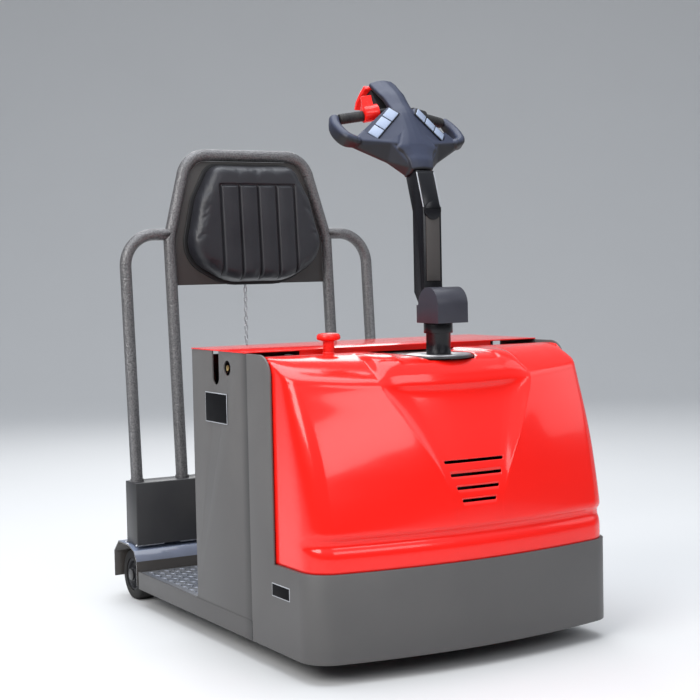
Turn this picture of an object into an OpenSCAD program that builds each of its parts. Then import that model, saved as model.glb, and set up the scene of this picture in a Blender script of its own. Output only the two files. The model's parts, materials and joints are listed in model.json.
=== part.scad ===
// Small stand-on tow tractor for baggage carts.
// The origin is on the floor under the middle of the vehicle. The front faces -Y, +Z is up.
// Lengths along the vehicle are worked out from the foremost point of the front skirt.

/* [Steel body] */
// Width over the side walls
body_w = 820; // [790:5:860]
// Gap between the steel body and the floor
ground_gap = 46; // [42:1:54]
// Height of the front skirt
skirt_h = 195; // [185:1:205]
// How far the middle of the front stands before its corners
front_bow = 52; // [40:1:64]
// Radius of the two front corners
corner_r = 70; // [60:1:80]
// Thickness of the skirt and wall plate
plate_t = 5; // [4:0.5:7]
// Distance from the front to the front edge of the side walls
wall_front = 222; // [214:1:230]
// Distance from the front to the weld seam in the side walls
seam_y = 337; // [320:1:350]
// Distance from the front to the back edge of the side walls
wall_back = 638; // [625:1:660]
// Radius of the side wall's upper front corner
wall_corner_r = 50; // [35:1:60]
// Height of the low rail beside the deck
rail_h = 46; // [42:1:56]
// Step between the front wrap and the rear part of the side wall
seam_step = 1.5; // [1:0.5:2.5]
// Length of the deck behind the side walls
deck_l = 390; // [370:5:430]
// Thickness of the deck plate
deck_t = 4; // [3:0.5:6]
// How far the deck lies below the rail's top edge
deck_drop = 4; // [2:1:6]

/* [Battery lid] */
// Height of the closed lid above the floor
lid_top = 709; // [700:1:720]
// Thickness of the lid's sheet
lid_t = 3; // [2.5:0.5:4]
// Distance from the front to the lid's front edge
lid_front = 339; // [335:1:350]
// Height of the folded front flange
lid_flange_h = 14; // [11:0.5:15]
// Length of each hand gap at the flange's ends
hand_gap = 140; // [110:5:160]
// Radius of the hinge pin
hinge_pin_r = 3; // [2.5:0.5:4]

/* [Hood] */
// Wall of the hood moulding
hood_t = 4; // [3:0.5:5]
// Height of the hood's front edge above its foot, at the middle
hood_edge_h = 396; // [385:1:405]
// How far the hood leans back from its foot to its front edge
hood_lean = 60; // [50:1:70]
// Distance from the front to the hood's back edge
hood_back = 284; // [280:1:288]
// Depth of the valley in the middle of the hood
valley_d = 26; // [16:1:30]
// Height of one vent slot
slot_h = 7; // [5:0.5:9]

/* [Rear fender and pedestal] */
// Length of the fender along the vehicle
fender_l = 164; // [160:1:180]
// Height of the fender's top above the floor
fender_top = 157; // [155:1:164]
// Thickness of the fender's sheet
fender_t = 4; // [3:0.5:5]
// Distance from the fender's front to the pedestal's front
pedestal_in = 15; // [10:1:25]
// Length of the pedestal along the vehicle
pedestal_l = 74; // [66:1:80]
// Height of the pedestal
pedestal_h = 170; // [150:1:190]
// Wall of the pedestal
pedestal_t = 4; // [3:0.5:6]

/* [Backrest] */
// Height of the frame above the pedestal, along its lean
frame_h = 894; // [860:1:930]
// Lean of the frame towards the back
frame_lean = 3.9; // [3:0.1:5]
// Outer radius of the inner frame tube
tube_r = 16.5; // [15.5:0.5:18]
// Outer radius of the armrest tubes
arm_tube_r = 16; // [14:0.5:16]
// Distance of the inner tubes from the middle
inner_x = 248; // [240:1:260]
// Distance of the armrest tubes from the middle
outer_x = 381; // [370:1:382]
// Height where the inner tubes turn inwards
shoulder_h = 659; // [640:1:680]
// Inward angle of the frame above the shoulder
shoulder_angle = 15.4; // [13:0.1:17]
// Height of the armrest's level part
armrest_h = 672; // [650:1:690]
// Bend radius of the armrests
armrest_bend = 88; // [75:1:95]
// Bend radius of the frame's top corners
frame_bend = 75; // [60:1:85]
// Thickness of the back plate
back_plate_t = 3; // [2:0.5:5]
// Height of the back plate's lower edge
back_plate_h = 531; // [500:1:560]
// Thickness of the pad
pad_t = 66; // [50:1:80]

/* [Wheels] */
// Radius of the rear tyres
rear_r = 68; // [64:1:70]
// Width of the rear tyres
rear_w = 58; // [50:1:62]
// Radius of the rear hubs
rear_hub_r = 44; // [38:1:50]
// Radius of the rear axle stubs
axle_r = 10; // [8:0.5:12]
// Radius of the drive tyre
drive_r = 105; // [100:1:108]
// Width of the drive tyre
drive_w = 70; // [60:1:80]
// Radius of the drive hub
drive_hub_r = 72; // [64:1:80]
// Radius of the drive wheel's shaft
drive_shaft_r = 14; // [12:0.5:16]

/* [Steering] */
// Distance from the front to the steering column's middle
column_y = 165; // [160:1:170]
// Radius of the steering column's tube
column_r = 28.5; // [26:0.5:30]
// Radius of the collar at the column's top
collar_r = 33.5; // [31:0.5:36]
// Height of the collar's top
collar_top = 766; // [760:1:775]
// Radius of the round plate on the hood
round_plate_r = 75; // [70:1:80]
// Radius of the steering journal
journal_r = 34; // [30:0.5:38]
// Running gap of all journals and pins, on the radius
run_gap = 0.05; // [0.03:0.01:0.1]

/* [Tiller] */
// Width of the tiller's pivot cover
cover_w = 82; // [76:1:90]
// Radius of the cover's arched top
cover_r = 41; // [38:1:43]
// Radius of the tiller's pivot pin
pivot_r = 8; // [6:0.5:10]
// Width of the tiller arm
arm_w = 50; // [44:1:56]
// Depth of the tiller arm
arm_d = 45; // [40:1:50]
// Height where the arm bends back
arm_kink = 1030; // [1010:1:1050]
// Lean of the arm above the bend
arm_lean = 18; // [14:1:22]
// Length of the arm above the bend
arm_upper = 92; // [80:1:105]
// Lean of the tiller head
head_lean = 38; // [34:1:42]
// Length of the tiller head
head_l = 270; // [262:1:278]
// Distance of the hand loops' middle line from the middle of the head
loop_x = 163; // [158:1:168]
// Radius of the rubber grips
grip_r = 12.5; // [11:0.5:14]

/* [Tow coupling] */
// Distance from the pedestal to the tow pin's middle
pin_reach = 45; // [40:1:52]
// Radius of the jaw plates' round end
jaw_r = 44; // [38:1:50]
// Thickness of one jaw plate
jaw_t = 10; // [8:0.5:12]
// Clear height between two jaw plates
jaw_gap = 40; // [34:1:44]
// Radius of the tow pin
tow_pin_r = 10; // [8:0.5:12]
// Wire radius of the pin's chain
wire_r = 1.5; // [1.2:0.1:2]
// Inner length of one chain link
link_l = 14; // [12:0.5:16]

/* [Hidden] */

steel_grey = "#636160";
tube_grey = "#77757a";
signal_red = "#e8201c";
seat_gap = 0.3;
half_w = body_w / 2;
wall_in = half_w - plate_t;
skirt_top = ground_gap + skirt_h;
wall_top = lid_top - lid_t - seat_gap;
rail_top = ground_gap + rail_h;
rail_end = wall_back + deck_l - 6;
deck_top = rail_top - deck_drop;
fender_front = wall_back + deck_l + 5;
fender_back = fender_front + fender_l;
pedestal_front = fender_front + pedestal_in;
pedestal_back = pedestal_front + pedestal_l;
pedestal_top = fender_top + pedestal_h;
pin_y = pedestal_back + pin_reach;
total_l = pin_y + jaw_r;

// Moves a piece from lengths counted from the front to lengths counted from the middle.
module place() {
    translate([0, -total_l / 2, 0]) children();
}

// Extrudes an outline drawn in length and height along X, centred on x.
module across(x, w) {
    translate([x - w / 2, 0, 0]) rotate([90, 0, 90]) linear_extrude(w) children();
}

// Plan of the body front: a wide bow between two round corners.
bow_r = (half_w * half_w + front_bow * front_bow) / (2 * front_bow);
corner_x = half_w - corner_r;
corner_y = bow_r - sqrt(pow(bow_r - corner_r, 2) - corner_x * corner_x);
module plan(inset, y_end) {
    bow_x = corner_x * (bow_r - inset) / (bow_r - corner_r);
    intersection() {
        translate([0, bow_r]) circle(bow_r - inset, $fn = 720);
        translate([-bow_x, -1]) square([2 * bow_x, y_end + 1]);
    }
    for (side = [-1, 1])
        translate([side * corner_x, corner_y]) circle(corner_r - inset, $fn = 96);
    translate([inset - half_w, corner_y]) square([2 * (half_w - inset), y_end - corner_y]);
}

/* Steel body */

ledge_w = 18;
ledge_t = 5;

// Tall strip of the front wrap beside the hood, with its round upper corner.
module strip_outline() {
    translate([wall_front, ground_gap])
        square([seam_y - wall_front, wall_top - wall_corner_r - ground_gap]);
    translate([wall_front + wall_corner_r, ground_gap])
        square([seam_y - wall_front - wall_corner_r, wall_top - ground_gap]);
    translate([wall_front + wall_corner_r, wall_top - wall_corner_r]) circle(wall_corner_r, $fn = 96);
}

module front_skirt() {
    place() color(steel_grey) {
        translate([0, 0, ground_gap]) linear_extrude(skirt_h) difference() {
            plan(0, seam_y);
            plan(plate_t, seam_y + 1);
        }
        translate([0, 0, skirt_top - ledge_t]) linear_extrude(ledge_t) difference() {
            plan(plate_t / 2, wall_front);
            plan(plate_t + ledge_w, wall_front + 1);
        }
        for (side = [-1, 1]) across(side * (half_w - plate_t / 2), plate_t) strip_outline();
    }
}

slot_y = wall_back - 134;
slot_w = 36;
slot_deep = 80;
eye_y = wall_back - 197;
eye_z = wall_top - 38;
rail_fillet = 15;

module wall_outline() {
    difference() {
        union() {
            translate([seam_y, rail_top - 1]) square([wall_back - seam_y, wall_top - rail_top + 1]);
            translate([wall_back - 1, rail_top - 1]) square([rail_fillet + 1, rail_fillet + 1]);
        }
        translate([wall_back + rail_fillet, rail_top + rail_fillet]) circle(rail_fillet, $fn = 48);
        translate([slot_y - slot_w / 2, wall_top - slot_deep + slot_w / 2]) square([slot_w, slot_deep]);
        translate([slot_y, wall_top - slot_deep + slot_w / 2]) circle(slot_w / 2, $fn = 48);
        translate([eye_y, eye_z]) circle(slot_w / 2, $fn = 48);
    }
}

module side_wall(side) {
    place() color(steel_grey) {
        across(side * (half_w - plate_t / 2), plate_t)
            translate([seam_y, ground_gap]) square([rail_end - seam_y, rail_h]);
        across(side * (half_w - (plate_t + seam_step) / 2), plate_t - seam_step) wall_outline();
    }
}
module side_wall_left() {
    side_wall(-1);
}
module side_wall_right() {
    side_wall(1);
}

rib_h = 26;
module deck_plate() {
    place() color(steel_grey) {
        translate([-wall_in, wall_back - 2, deck_top - deck_t]) cube([2 * wall_in, fender_front - seat_gap - wall_back + 2, deck_t]);
        for (x = [-200, 0, 200])
            translate([x - 3, wall_back + 6, deck_top - deck_t - rib_h]) cube([6, deck_l - 20, rib_h + 1]);
    }
}

sheet_t = 4;
hinge_r = hinge_pin_r + 3;
bulkhead_y = wall_back - 6;
bulkhead_top = lid_top - 18;
module bulkhead() {
    place() color(steel_grey) {
        difference() {
            translate([-wall_in, bulkhead_y, ground_gap]) cube([2 * wall_in, sheet_t, bulkhead_top - ground_gap]);
        }
    }
}

pan_front = seam_y + 30;
module floor_pan() {
    place() color(steel_grey)
        translate([-wall_in, pan_front, ground_gap + 4]) cube([2 * wall_in, bulkhead_y - pan_front, sheet_t]);
}

bridge_t = 12;
bridge_z = skirt_top - ledge_t - bridge_t - 3;
bearing_h = 34;
module drive_bridge() {
    place() color("#4a4a4c") difference() {
        union() {
            translate([0, 0, bridge_z]) linear_extrude(bridge_t) intersection() {
                plan(plate_t, seam_y);
                translate([-wall_in, corner_y]) square([2 * wall_in, seam_y - corner_y]);
            }
            translate([0, column_y, bridge_z]) cylinder(r = journal_r + 14, h = bearing_h, $fn = 96);
        }
        translate([0, column_y, bridge_z - 1])
            cylinder(r = journal_r + run_gap, h = bearing_h + 2, $fn = 96);
    }
}

battery_w = body_w - 120;
battery_clear = 57;
battery_z = ground_gap + 4 + sheet_t;
battery_h = lid_top - lid_t - battery_clear - battery_z;
module battery_block() {
    place() color("#3a3d40")
        translate([-battery_w / 2, pan_front + 8, battery_z])
            cube([battery_w, bulkhead_y - pan_front - 16, battery_h]);
}

// Sheet between the hood and the lid. Its front ledge carries the hood's back edge,
// and its tongue fills the hood's cut-out and carries the round plate.
hood_rear_z = lid_top - 9;
hood_seat_z = hood_rear_z - hood_t - seat_gap;
control_z = hood_rear_z - 10;
cut_r = round_plate_r + 8;
tongue_r = cut_r - 3;
cut_z = control_z - sheet_t - 3;
module control_deck() {
    place() color("#26272a") difference() {
        union() {
            translate([-wall_in, hood_back - 10, control_z - sheet_t])
                cube([2 * wall_in, lid_front - hood_back + 26, sheet_t]);
            for (side = [-1, 1])
                translate([side * (wall_in + tongue_r) / 2 - 145, hood_back - 10, control_z - 1])
                    cube([290, 4, hood_seat_z - control_z + 1]);
            translate([-tongue_r, column_y, control_z - sheet_t])
                cube([2 * tongue_r, hood_back - column_y - 9, sheet_t]);
            translate([0, column_y, control_z - sheet_t]) cylinder(r = tongue_r, h = sheet_t, $fn = 96);
        }
        translate([0, column_y, control_z - 60]) cylinder(r = column_r + 3, h = 80, $fn = 96);
    }
}

knob_x = -212;
knob_y = lid_front - 34;
module stop_knob() {
    place() translate([knob_x, knob_y, control_z]) {
        color(signal_red) rotate_extrude($fn = 64) polygon([[0, 0], [15, 0], [15, 10], [13.5, 12], [13.5, 37],
            [20, 39], [26, 41], [28, 45], [27.5, 50], [24, 54], [16, 56], [0, 56.5]]);
    }
}

key_x = knob_x - 106;
module key_switch() {
    place() color("#1d1e20") translate([key_x, knob_y, control_z]) {
        cylinder(r = 13, h = 6, $fn = 48);
        cylinder(r = 9, h = 11, $fn = 48);
    }
}

/* Hood moulding */

hood_foot = skirt_top + seat_gap;
hood_half = wall_in - 2.5;
hood_side_end = wall_front + 22;

// Rows of the front face: share of the height, share of the lean, inset of the
// groove, half width of the valley, share of the valley's depth.
face_rows = [
    [0, 0, 0, 62, 0], [0.078, 0, 0, 62, 0], [0.116, 0, 3, 62, 0], [0.141, 0, 8, 62, 0],
    [0.171, 0, 8, 62, 0], [0.197, 0, 1, 62, 0], [0.227, 0, 0, 62, 0], [0.33, 0.05, 0, 62, 0],
    [0.43, 0.13, 0, 82, 0.25], [0.54, 0.24, 0, 102, 0.5], [0.66, 0.4, 0, 131, 0.7],
    [0.78, 0.6, 0, 160, 0.86], [0.88, 0.79, 0, 184, 0.95], [0.94, 0.9, 0, 198, 1]
];
edge_row = [1, 1, 0, 206, 1];
round_steps = [0.25, 0.5, 0.75];
crown_steps = [0.1, 0.2, 0.32, 0.46, 0.62, 0.8, 1];

// Columns from the middle to one side: in the valley, beside it, round the corner, along the side.
valley_cols = [0.15, 0.4, 0.62, 0.8, 0.92, 1];
flank_cols = [0.05, 0.35, 0.68, 1];
corner_cols = [0.2, 0.4, 0.6, 0.8, 1];
side_cols = [0.35, 0.7, 1];
half_cols = len(valley_cols) + len(flank_cols) + len(corner_cols) + len(side_cols);

// Depth profile over the valley's half width: a flat floor and steep walls.
function valley_shape(q) = q >= 1 ? 0 : q <= 0.5 ? 1 : pow(cos((q - 0.5) * 180), 1.2);

// One column of one row as [x, y, share of the valley, share along the side].
function hood_col(k, row, skin) =
    let (
        h = hood_half - skin,
        lean = hood_lean * row[1],
        front = plate_t - 1 + lean + row[2] + skin,
        radius = corner_r - 8 + 0.6 * lean,
        flat_x = h - radius,
        bow = front_bow - 2,
        slope = 2 * bow * flat_x / (h * h),
        y_flat = front + bow * pow(flat_x / h, 2),
        y_ctrl = y_flat + slope * radius,
        y_side = y_ctrl + radius,
        n1 = len(valley_cols),
        n2 = n1 + len(flank_cols),
        n3 = n2 + len(corner_cols)
    )
    k < n1 ? let (q = valley_cols[k], x = q * row[3])
        [x, front + bow * pow(x / h, 2), valley_shape(q), 0] :
    k < n2 ? let (q = flank_cols[k - n1], x = row[3] + (flat_x - row[3]) * q)
        [x, front + bow * pow(x / h, 2), 0, 0] :
    k < n3 ? let (q = corner_cols[k - n2], x = flat_x * pow(1 - q, 2) + 2 * h * q * (1 - q) + h * q * q,
            y = y_flat * pow(1 - q, 2) + 2 * y_ctrl * q * (1 - q) + y_side * q * q)
        [x, y, 0, (y - y_flat) / (hood_side_end - y_flat)] :
    let (q = side_cols[k - n3], y = y_side + (hood_side_end - y_side) * q)
        [h, y, 0, (y - y_flat) / (hood_side_end - y_flat)];

function edge_z(c) = hood_foot + hood_edge_h + 18 * pow(c[0] / hood_half, 2)
    + (hood_rear_z - 3 - hood_foot - hood_edge_h - 18) * pow(c[3], 1.5);

function face_point(k, row, skin) =
    let (
        c = hood_col(k, row, skin),
        top = edge_z(hood_col(k, edge_row, 0)) - skin,
        z = row[0] < 0.23 ? hood_foot + row[0] * hood_edge_h
            : hood_foot + 0.23 * hood_edge_h
                + (row[0] - 0.23) / 0.77 * (top - hood_foot - 0.23 * hood_edge_h)
    )
    [c[0], c[1] + valley_d * row[4] * c[2], z];

function crown_point(k, s, skin) =
    let (
        c = hood_col(k, edge_row, skin),
        n1 = len(valley_cols) + len(flank_cols),
        flat = hood_col(n1 - 1, edge_row, skin)[0] * 0.88,
        x_back = k < n1 ? c[0] * 0.88 : flat + (hood_half - skin - flat) * (k - n1 + 1) / (half_cols - n1),
        z0 = edge_z(hood_col(k, edge_row, 0)) - skin,
        rise = 1 - pow(1 - s, 2.4 + 3 * c[2]),
        drop = valley_d * c[2] * pow(max(0, 1 - s * 1.5), 1.5)
    )
    [c[0] + (x_back - c[0]) * s, c[1] + drop * 0.8 + (hood_back - c[1] - drop * 0.8) * s,
        z0 + (hood_rear_z - skin - z0) * rise - drop * 0.6];

function round_point(k, t, skin) =
    let (
        a = face_point(k, face_rows[len(face_rows) - 1], skin),
        b = crown_point(k, 0, skin),
        c = crown_point(k, crown_steps[0], skin)
    )
    a * pow(1 - t, 2) + b * 2 * t * (1 - t) + c * t * t;

function half_row(k, r, skin) =
    let (n1 = len(face_rows), n2 = n1 + len(round_steps))
    r < n1 ? face_point(k, face_rows[r], skin) :
    r < n2 ? round_point(k, round_steps[r - n1], skin) :
    crown_point(k, crown_steps[r - n2], skin);

hood_rows = len(face_rows) + len(round_steps) + len(crown_steps);
hood_cols = 2 * half_cols;

function hood_point(r, c, skin) =
    let (k = c < half_cols ? half_cols - 1 - c : c - half_cols, p = half_row(k, r, skin))
    [c < half_cols ? -p[0] : p[0], p[1], p[2]];

function quad(a, b, c, d) = [[a, b, c], [a, c, d]];

module hood_skin() {
    n = hood_rows * hood_cols;
    points = [for (skin = [0, hood_t], r = [0:hood_rows - 1], c = [0:hood_cols - 1]) hood_point(r, c, skin)];
    function id(r, c) = r * hood_cols + c;
    outer = [for (r = [0:hood_rows - 2], c = [0:hood_cols - 2])
        each quad(id(r, c), id(r + 1, c), id(r + 1, c + 1), id(r, c + 1))];
    inner = [for (f = outer) [n + f[2], n + f[1], n + f[0]]];
    ends = [for (r = [0:hood_rows - 2])
        each concat(quad(id(r, 0), n + id(r, 0), n + id(r + 1, 0), id(r + 1, 0)),
            quad(id(r + 1, hood_cols - 1), n + id(r + 1, hood_cols - 1), n + id(r, hood_cols - 1),
                id(r, hood_cols - 1)))];
    last = hood_rows - 1;
    rims = [for (c = [0:hood_cols - 2])
        each concat(quad(id(0, c + 1), n + id(0, c + 1), n + id(0, c), id(0, c)),
            quad(id(last, c), n + id(last, c), n + id(last, c + 1), id(last, c + 1)))];
    polyhedron(points = points, faces = concat(outer, inner, ends, rims), convexity = 6);
}

// Vent slots from the top down: height above the hood's foot, half length.
vents = [[216, 80], [187, 69], [158, 57], [130, 46]];
module hood() {
    place() color(signal_red) difference() {
        hood_skin();
        for (v = vents)
            translate([-v[1], -20, hood_foot + v[0]]) cube([2 * v[1], 90, slot_h]);
        translate([0, column_y, cut_z]) cylinder(r = cut_r, h = 60, $fn = 96);
        translate([-cut_r, column_y, cut_z]) cube([2 * cut_r, hood_back, 60]);
        translate([0, column_y, cut_z - 60]) cylinder(r = column_r + 5, h = 90, $fn = 96);
    }
}

module column_plate() {
    place() color("silver") difference() {
        translate([0, column_y, control_z]) cylinder(r = round_plate_r, h = 4, $fn = 96);
        translate([0, column_y, control_z - 1]) cylinder(r = column_r + 1.5, h = 8, $fn = 96);
    }
}

/* Rear fender, pedestal and wheels */

// Outer bend points of the fender sheet as [share of the length, height].
function fender_line(inset) = [
    [fender_front + inset, ground_gap + 6], [fender_front + inset, 0.72 * fender_top + ground_gap * 0.08],
    [fender_front + 18 + inset * 0.6, fender_top - 13 - inset * 0.7],
    [fender_front + 48, fender_top - 3 - inset], [fender_front + 62, fender_top - inset],
    [fender_back - 34 - inset * 0.4, fender_top - inset],
    [fender_back - inset, fender_top - 32 - inset * 0.4], [fender_back - inset, ground_gap + 8]
];

module rear_fender() {
    outer = fender_line(0);
    inner = fender_line(fender_t);
    place() color(steel_grey)
        across(0, body_w) polygon(concat(outer, [for (i = [len(inner) - 1:-1:0]) inner[i]]));
}

module pedestal() {
    w = body_w - 20;
    place() color(steel_grey) difference() {
        translate([-w / 2, pedestal_front, fender_top]) cube([w, pedestal_l, pedestal_h]);
        translate([pedestal_t - w / 2, pedestal_front + pedestal_t, fender_top - 1])
            cube([w - 2 * pedestal_t, pedestal_l - 2 * pedestal_t, pedestal_h - pedestal_t + 1]);
    }
}

wheel_y = fender_front + fender_l / 2 - 1;
wheel_out = half_w - 20;
bracket_t = 8;
bracket_x = wheel_out - rear_w - 10;
cap_t = 4;

module axle(side) {
    place() color("#4a4a4c") {
        translate([side * (bracket_x - bracket_t / 2), 0, 0])
            across(0, bracket_t) polygon([[wheel_y - 34, rear_r - 26], [wheel_y + 34, rear_r - 26],
                    [wheel_y + 34, fender_top - fender_t], [wheel_y - 18, fender_top - fender_t],
                    [wheel_y - 34, fender_top - 24]]);
        translate([side * (bracket_x - bracket_t / 2), wheel_y, rear_r]) rotate([0, side * 90, 0])
            cylinder(r = axle_r, h = wheel_out - bracket_x + bracket_t / 2 + 6, $fn = 64);
        translate([side * (bracket_x - 1), wheel_y, rear_r]) rotate([0, side * 90, 0])
            cylinder(r = axle_r + 7, h = 8, $fn = 64);
        translate([side * (wheel_out + 2), wheel_y, rear_r]) rotate([0, side * 90, 0])
            cylinder(r = axle_r + 6, h = cap_t, $fn = 64);
    }
}
module axle_left() {
    axle(-1);
}
module axle_right() {
    axle(1);
}

// Puts a wheel drawn along +Z, starting at its inner face, on the rear axle.
module on_rear_axle(side) {
    translate([side * (wheel_out - rear_w), wheel_y, rear_r]) rotate([0, side * 90, 0]) children();
}

module rear_tyre(side) {
    place() color("#17181a") on_rear_axle(side) rotate_extrude($fn = 96)
        polygon([[rear_hub_r, 0], [rear_r - 6, 0], [rear_r - 2, 2], [rear_r, 7], [rear_r, rear_w - 7],
            [rear_r - 2, rear_w - 2], [rear_r - 6, rear_w], [rear_hub_r, rear_w]]);
}
module rear_tyre_left() {
    rear_tyre(-1);
}
module rear_tyre_right() {
    rear_tyre(1);
}

module rear_hub(side) {
    place() color("#3c3d41") on_rear_axle(side) rotate_extrude($fn = 96)
        polygon([[axle_r + run_gap, 0], [axle_r + 9, 0], [axle_r + 9, rear_w / 2 - 6],
            [rear_hub_r - 6, rear_w / 2 - 6], [rear_hub_r - 6, 3], [rear_hub_r, 3], [rear_hub_r, rear_w - 3],
            [rear_hub_r - 6, rear_w - 3], [rear_hub_r - 9, rear_w - 14], [axle_r + 11, rear_w - 14],
            [axle_r + 9, rear_w], [axle_r + run_gap, rear_w]]);
}
module rear_hub_left() {
    rear_hub(-1);
}
module rear_hub_right() {
    rear_hub(1);
}

module on_drive_axle() {
    translate([-drive_w / 2, column_y, drive_r]) rotate([0, 90, 0]) children();
}
module drive_tyre() {
    place() color("#17181a") on_drive_axle() rotate_extrude($fn = 120)
        polygon([[drive_hub_r, 0], [drive_r - 8, 0], [drive_r, 6], [drive_r, drive_w - 6],
            [drive_r - 8, drive_w], [drive_hub_r, drive_w]]);
}
module drive_hub() {
    place() color("#3c3d41") on_drive_axle() rotate_extrude($fn = 120)
        polygon([[drive_shaft_r + run_gap, 4], [drive_shaft_r + 16, 4], [drive_shaft_r + 18, drive_w / 2 - 8],
            [drive_hub_r - 10, drive_w / 2 - 8], [drive_hub_r - 8, 2], [drive_hub_r, 2],
            [drive_hub_r, drive_w - 2], [drive_hub_r - 8, drive_w - 2], [drive_hub_r - 10, drive_w / 2 + 8],
            [drive_shaft_r + 18, drive_w / 2 + 8], [drive_shaft_r + 16, drive_w - 4],
            [drive_shaft_r + run_gap, drive_w - 4]]);
}

/* Steering and drive unit */

fork_t = 10;
fork_in = drive_w / 2 + 5;
crown_t = 10;
crown_z = bridge_z - seat_gap - crown_t;
motor_z = bridge_z + bearing_h + seat_gap;
motor_h = 190;

module drive_case() {
    place() color("#3c3d41") {
        translate([0, column_y, crown_z]) cylinder(r = journal_r + 32, h = crown_t, $fn = 96);
        translate([0, column_y, crown_z]) cylinder(r = journal_r, h = motor_z - crown_z, $fn = 96);
        for (side = [-1, 1]) {
            across(side * (fork_in + fork_t / 2), fork_t) {
                translate([column_y, drive_r]) circle(30, $fn = 64);
                translate([column_y - 30, drive_r]) square([60, crown_z - drive_r + 1]);
            }
        }
        translate([-fork_in - 1, column_y, drive_r]) rotate([0, 90, 0])
            cylinder(r = drive_shaft_r, h = 2 * fork_in + 2, $fn = 64);
    }
}

module drive_motor() {
    place() color("#303236")
        translate([0, column_y, motor_z]) cylinder(r = 72, h = motor_h, $fn = 96);
}

module steering_column() {
    place() color("#141518") {
        translate([0, column_y, motor_z + motor_h])
            cylinder(r = column_r, h = collar_top - 24 - motor_z - motor_h, $fn = 96);
        translate([0, column_y, collar_top - 24]) cylinder(r = collar_r, h = 24, $fn = 96);
    }
}

/* Tiller */

cover_front = column_y - 62;
cover_back = column_y + 27;
cover_t = 4;
arch_y = cover_front + cover_r;
arch_z = collar_top + cover_r;
pivot_y = column_y + 13;
pivot_z = collar_top + 36;

module cover_side() {
    translate([cover_front, collar_top]) square([cover_back - cover_front, arch_z - collar_top]);
    translate([arch_y, arch_z]) circle(cover_r, $fn = 96);
}

module tiller_cover() {
    place() color("#3b3d42") difference() {
        union() {
            difference() {
                across(0, cover_w) cover_side();
                translate([0, 0, cover_t]) across(0, cover_w - 2 * cover_t) difference() {
                    union() {
                        translate([cover_front + cover_t, collar_top])
                            square([cover_back - cover_front, arch_z - collar_top]);
                        translate([arch_y, arch_z - cover_t]) circle(cover_r - cover_t, $fn = 96);
                        translate([arch_y + 14, arch_z - cover_t]) square([cover_r, cover_r + 10]);
                    }
                }
            }
            translate([-cover_w / 2 + 1, pivot_y, pivot_z]) rotate([0, 90, 0])
                cylinder(r = pivot_r, h = cover_w - 2, $fn = 48);
        }
    }
}

arm_front = pivot_y + 4;
arm_back = arm_front + arm_d;
boss_r = 22;
upper_front = [arm_front + arm_upper * sin(arm_lean), arm_kink + arm_upper * cos(arm_lean)];

module tiller_arm() {
    place() color("#101114") difference() {
        union() {
            translate([-arm_w / 2, pivot_y, pivot_z]) rotate([0, 90, 0]) cylinder(r = boss_r, h = arm_w, $fn = 64);
            across(0, arm_w) polygon([[pivot_y - 0.9 * boss_r, pivot_z - 9],
                [pivot_y - 0.9 * boss_r, pivot_z + 9], [arm_front, pivot_z + 44], [arm_front, arm_kink],
                upper_front, upper_front + arm_d * [cos(arm_lean), -sin(arm_lean)],
                [arm_back, arm_kink - arm_d * tan(arm_lean / 2)], [arm_back, pivot_z + 34],
                [pivot_y + 0.9 * boss_r, pivot_z - 9]]);
        }
        translate([-arm_w, pivot_y, pivot_z]) rotate([0, 90, 0])
            cylinder(r = pivot_r + run_gap, h = 2 * arm_w, $fn = 64);
    }
}

module arm_cover() {
    place() color("#101114") translate([0, arm_front, 0]) rotate([90, 0, 0]) linear_extrude(3) {
        translate([-18, pivot_z + 60]) square([36, arm_kink - pivot_z - 84]);
        translate([0, arm_kink - 24]) circle(18, $fn = 48);
    }
}

neck_y = upper_front[0] + arm_d / 2 * cos(arm_lean);
neck_z = upper_front[1] - arm_d / 2 * sin(arm_lean);

grip_z = 181;
grip_sweep = 13.8;
grip_from = [60, -5.4];
// Throttles lie on the swept line of the grips; from and to are counted along it from the grip's start.
drum_from = -11;
drum_to = 25;
drum_mid = [-8, 184];
// Side, drum radius, angle of the thumb blade from the head's length and its reach from the axis.
throttle_set = [[-1, 20.3, 43, 42], [1, 14.5, 223, 32]];
loop_end_y = grip_from[1] + (loop_x - 8 - grip_from[0]) * tan(grip_sweep);
grip_len = (loop_x - 8 - grip_from[0]) / cos(grip_sweep) - 12.5 - seat_gap;

// Head frame: X across, Z along the head from its neck, -Y towards the buttons.
module in_head() {
    place() translate([0, neck_y, neck_z]) rotate([-head_lean, 0, 0]) children();
}

// Places things on the swept line of a grip, their Z along it; mid is its y and z at the grip's start.
module on_grip_line(side, mid, start) {
    translate([side * grip_from[0], mid[0], mid[1]]) rotate([0, 0, side * grip_sweep]) rotate([0, side * 90, 0])
        translate([0, 0, start]) children();
}

module ball(p, r) {
    translate(p) sphere(r, $fn = 24);
}

// Sections of the head's spine: height, half width, front and back of its ball centres, crown.
head_ball = 6;
spine = [[4, 24, -16, 16, 4], [19, 27, -22, 10, 4], [32, 31, -24, 4, 4], [46, 38, -27, 2, 4], [55, 47, -29, 2, 4],
    [64, 40, -31, 8, 4], [100, 25, -36, 8, 4], [147, 22, -40, -6, 5], [180, 23, -35, -27, 7],
    [209, 25, -31, -27, 9], [225, 28, -27, -24, 10], [242, 29, -21, -19, 11], [head_l + 3, 31, -11, -10, 10]];
// Ball centres of one wing, first its upper part with the button panel, then its underside.
wing_top = [[36, -37, 168], [107, -6, 109], [20, -41, 142], [93, -14, 90], [64, -26, 71], [50, -29, 66],
    [138, 3, 92], [138, -4, 97], [20, -30, 70], [20, 0, 66], [34, 8, 137], [107, 9, 99]];
wing_low = [[26, -12, 12], [28, 12, 12], [62, -25, 69], [66, 7, 46], [30, 8, 60], [34, 8, 120]];
wing_tip = [[62, -25, 69], [66, 7, 46], [138, 1, 92], [139, 8, 91], [34, 8, 120]];
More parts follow.
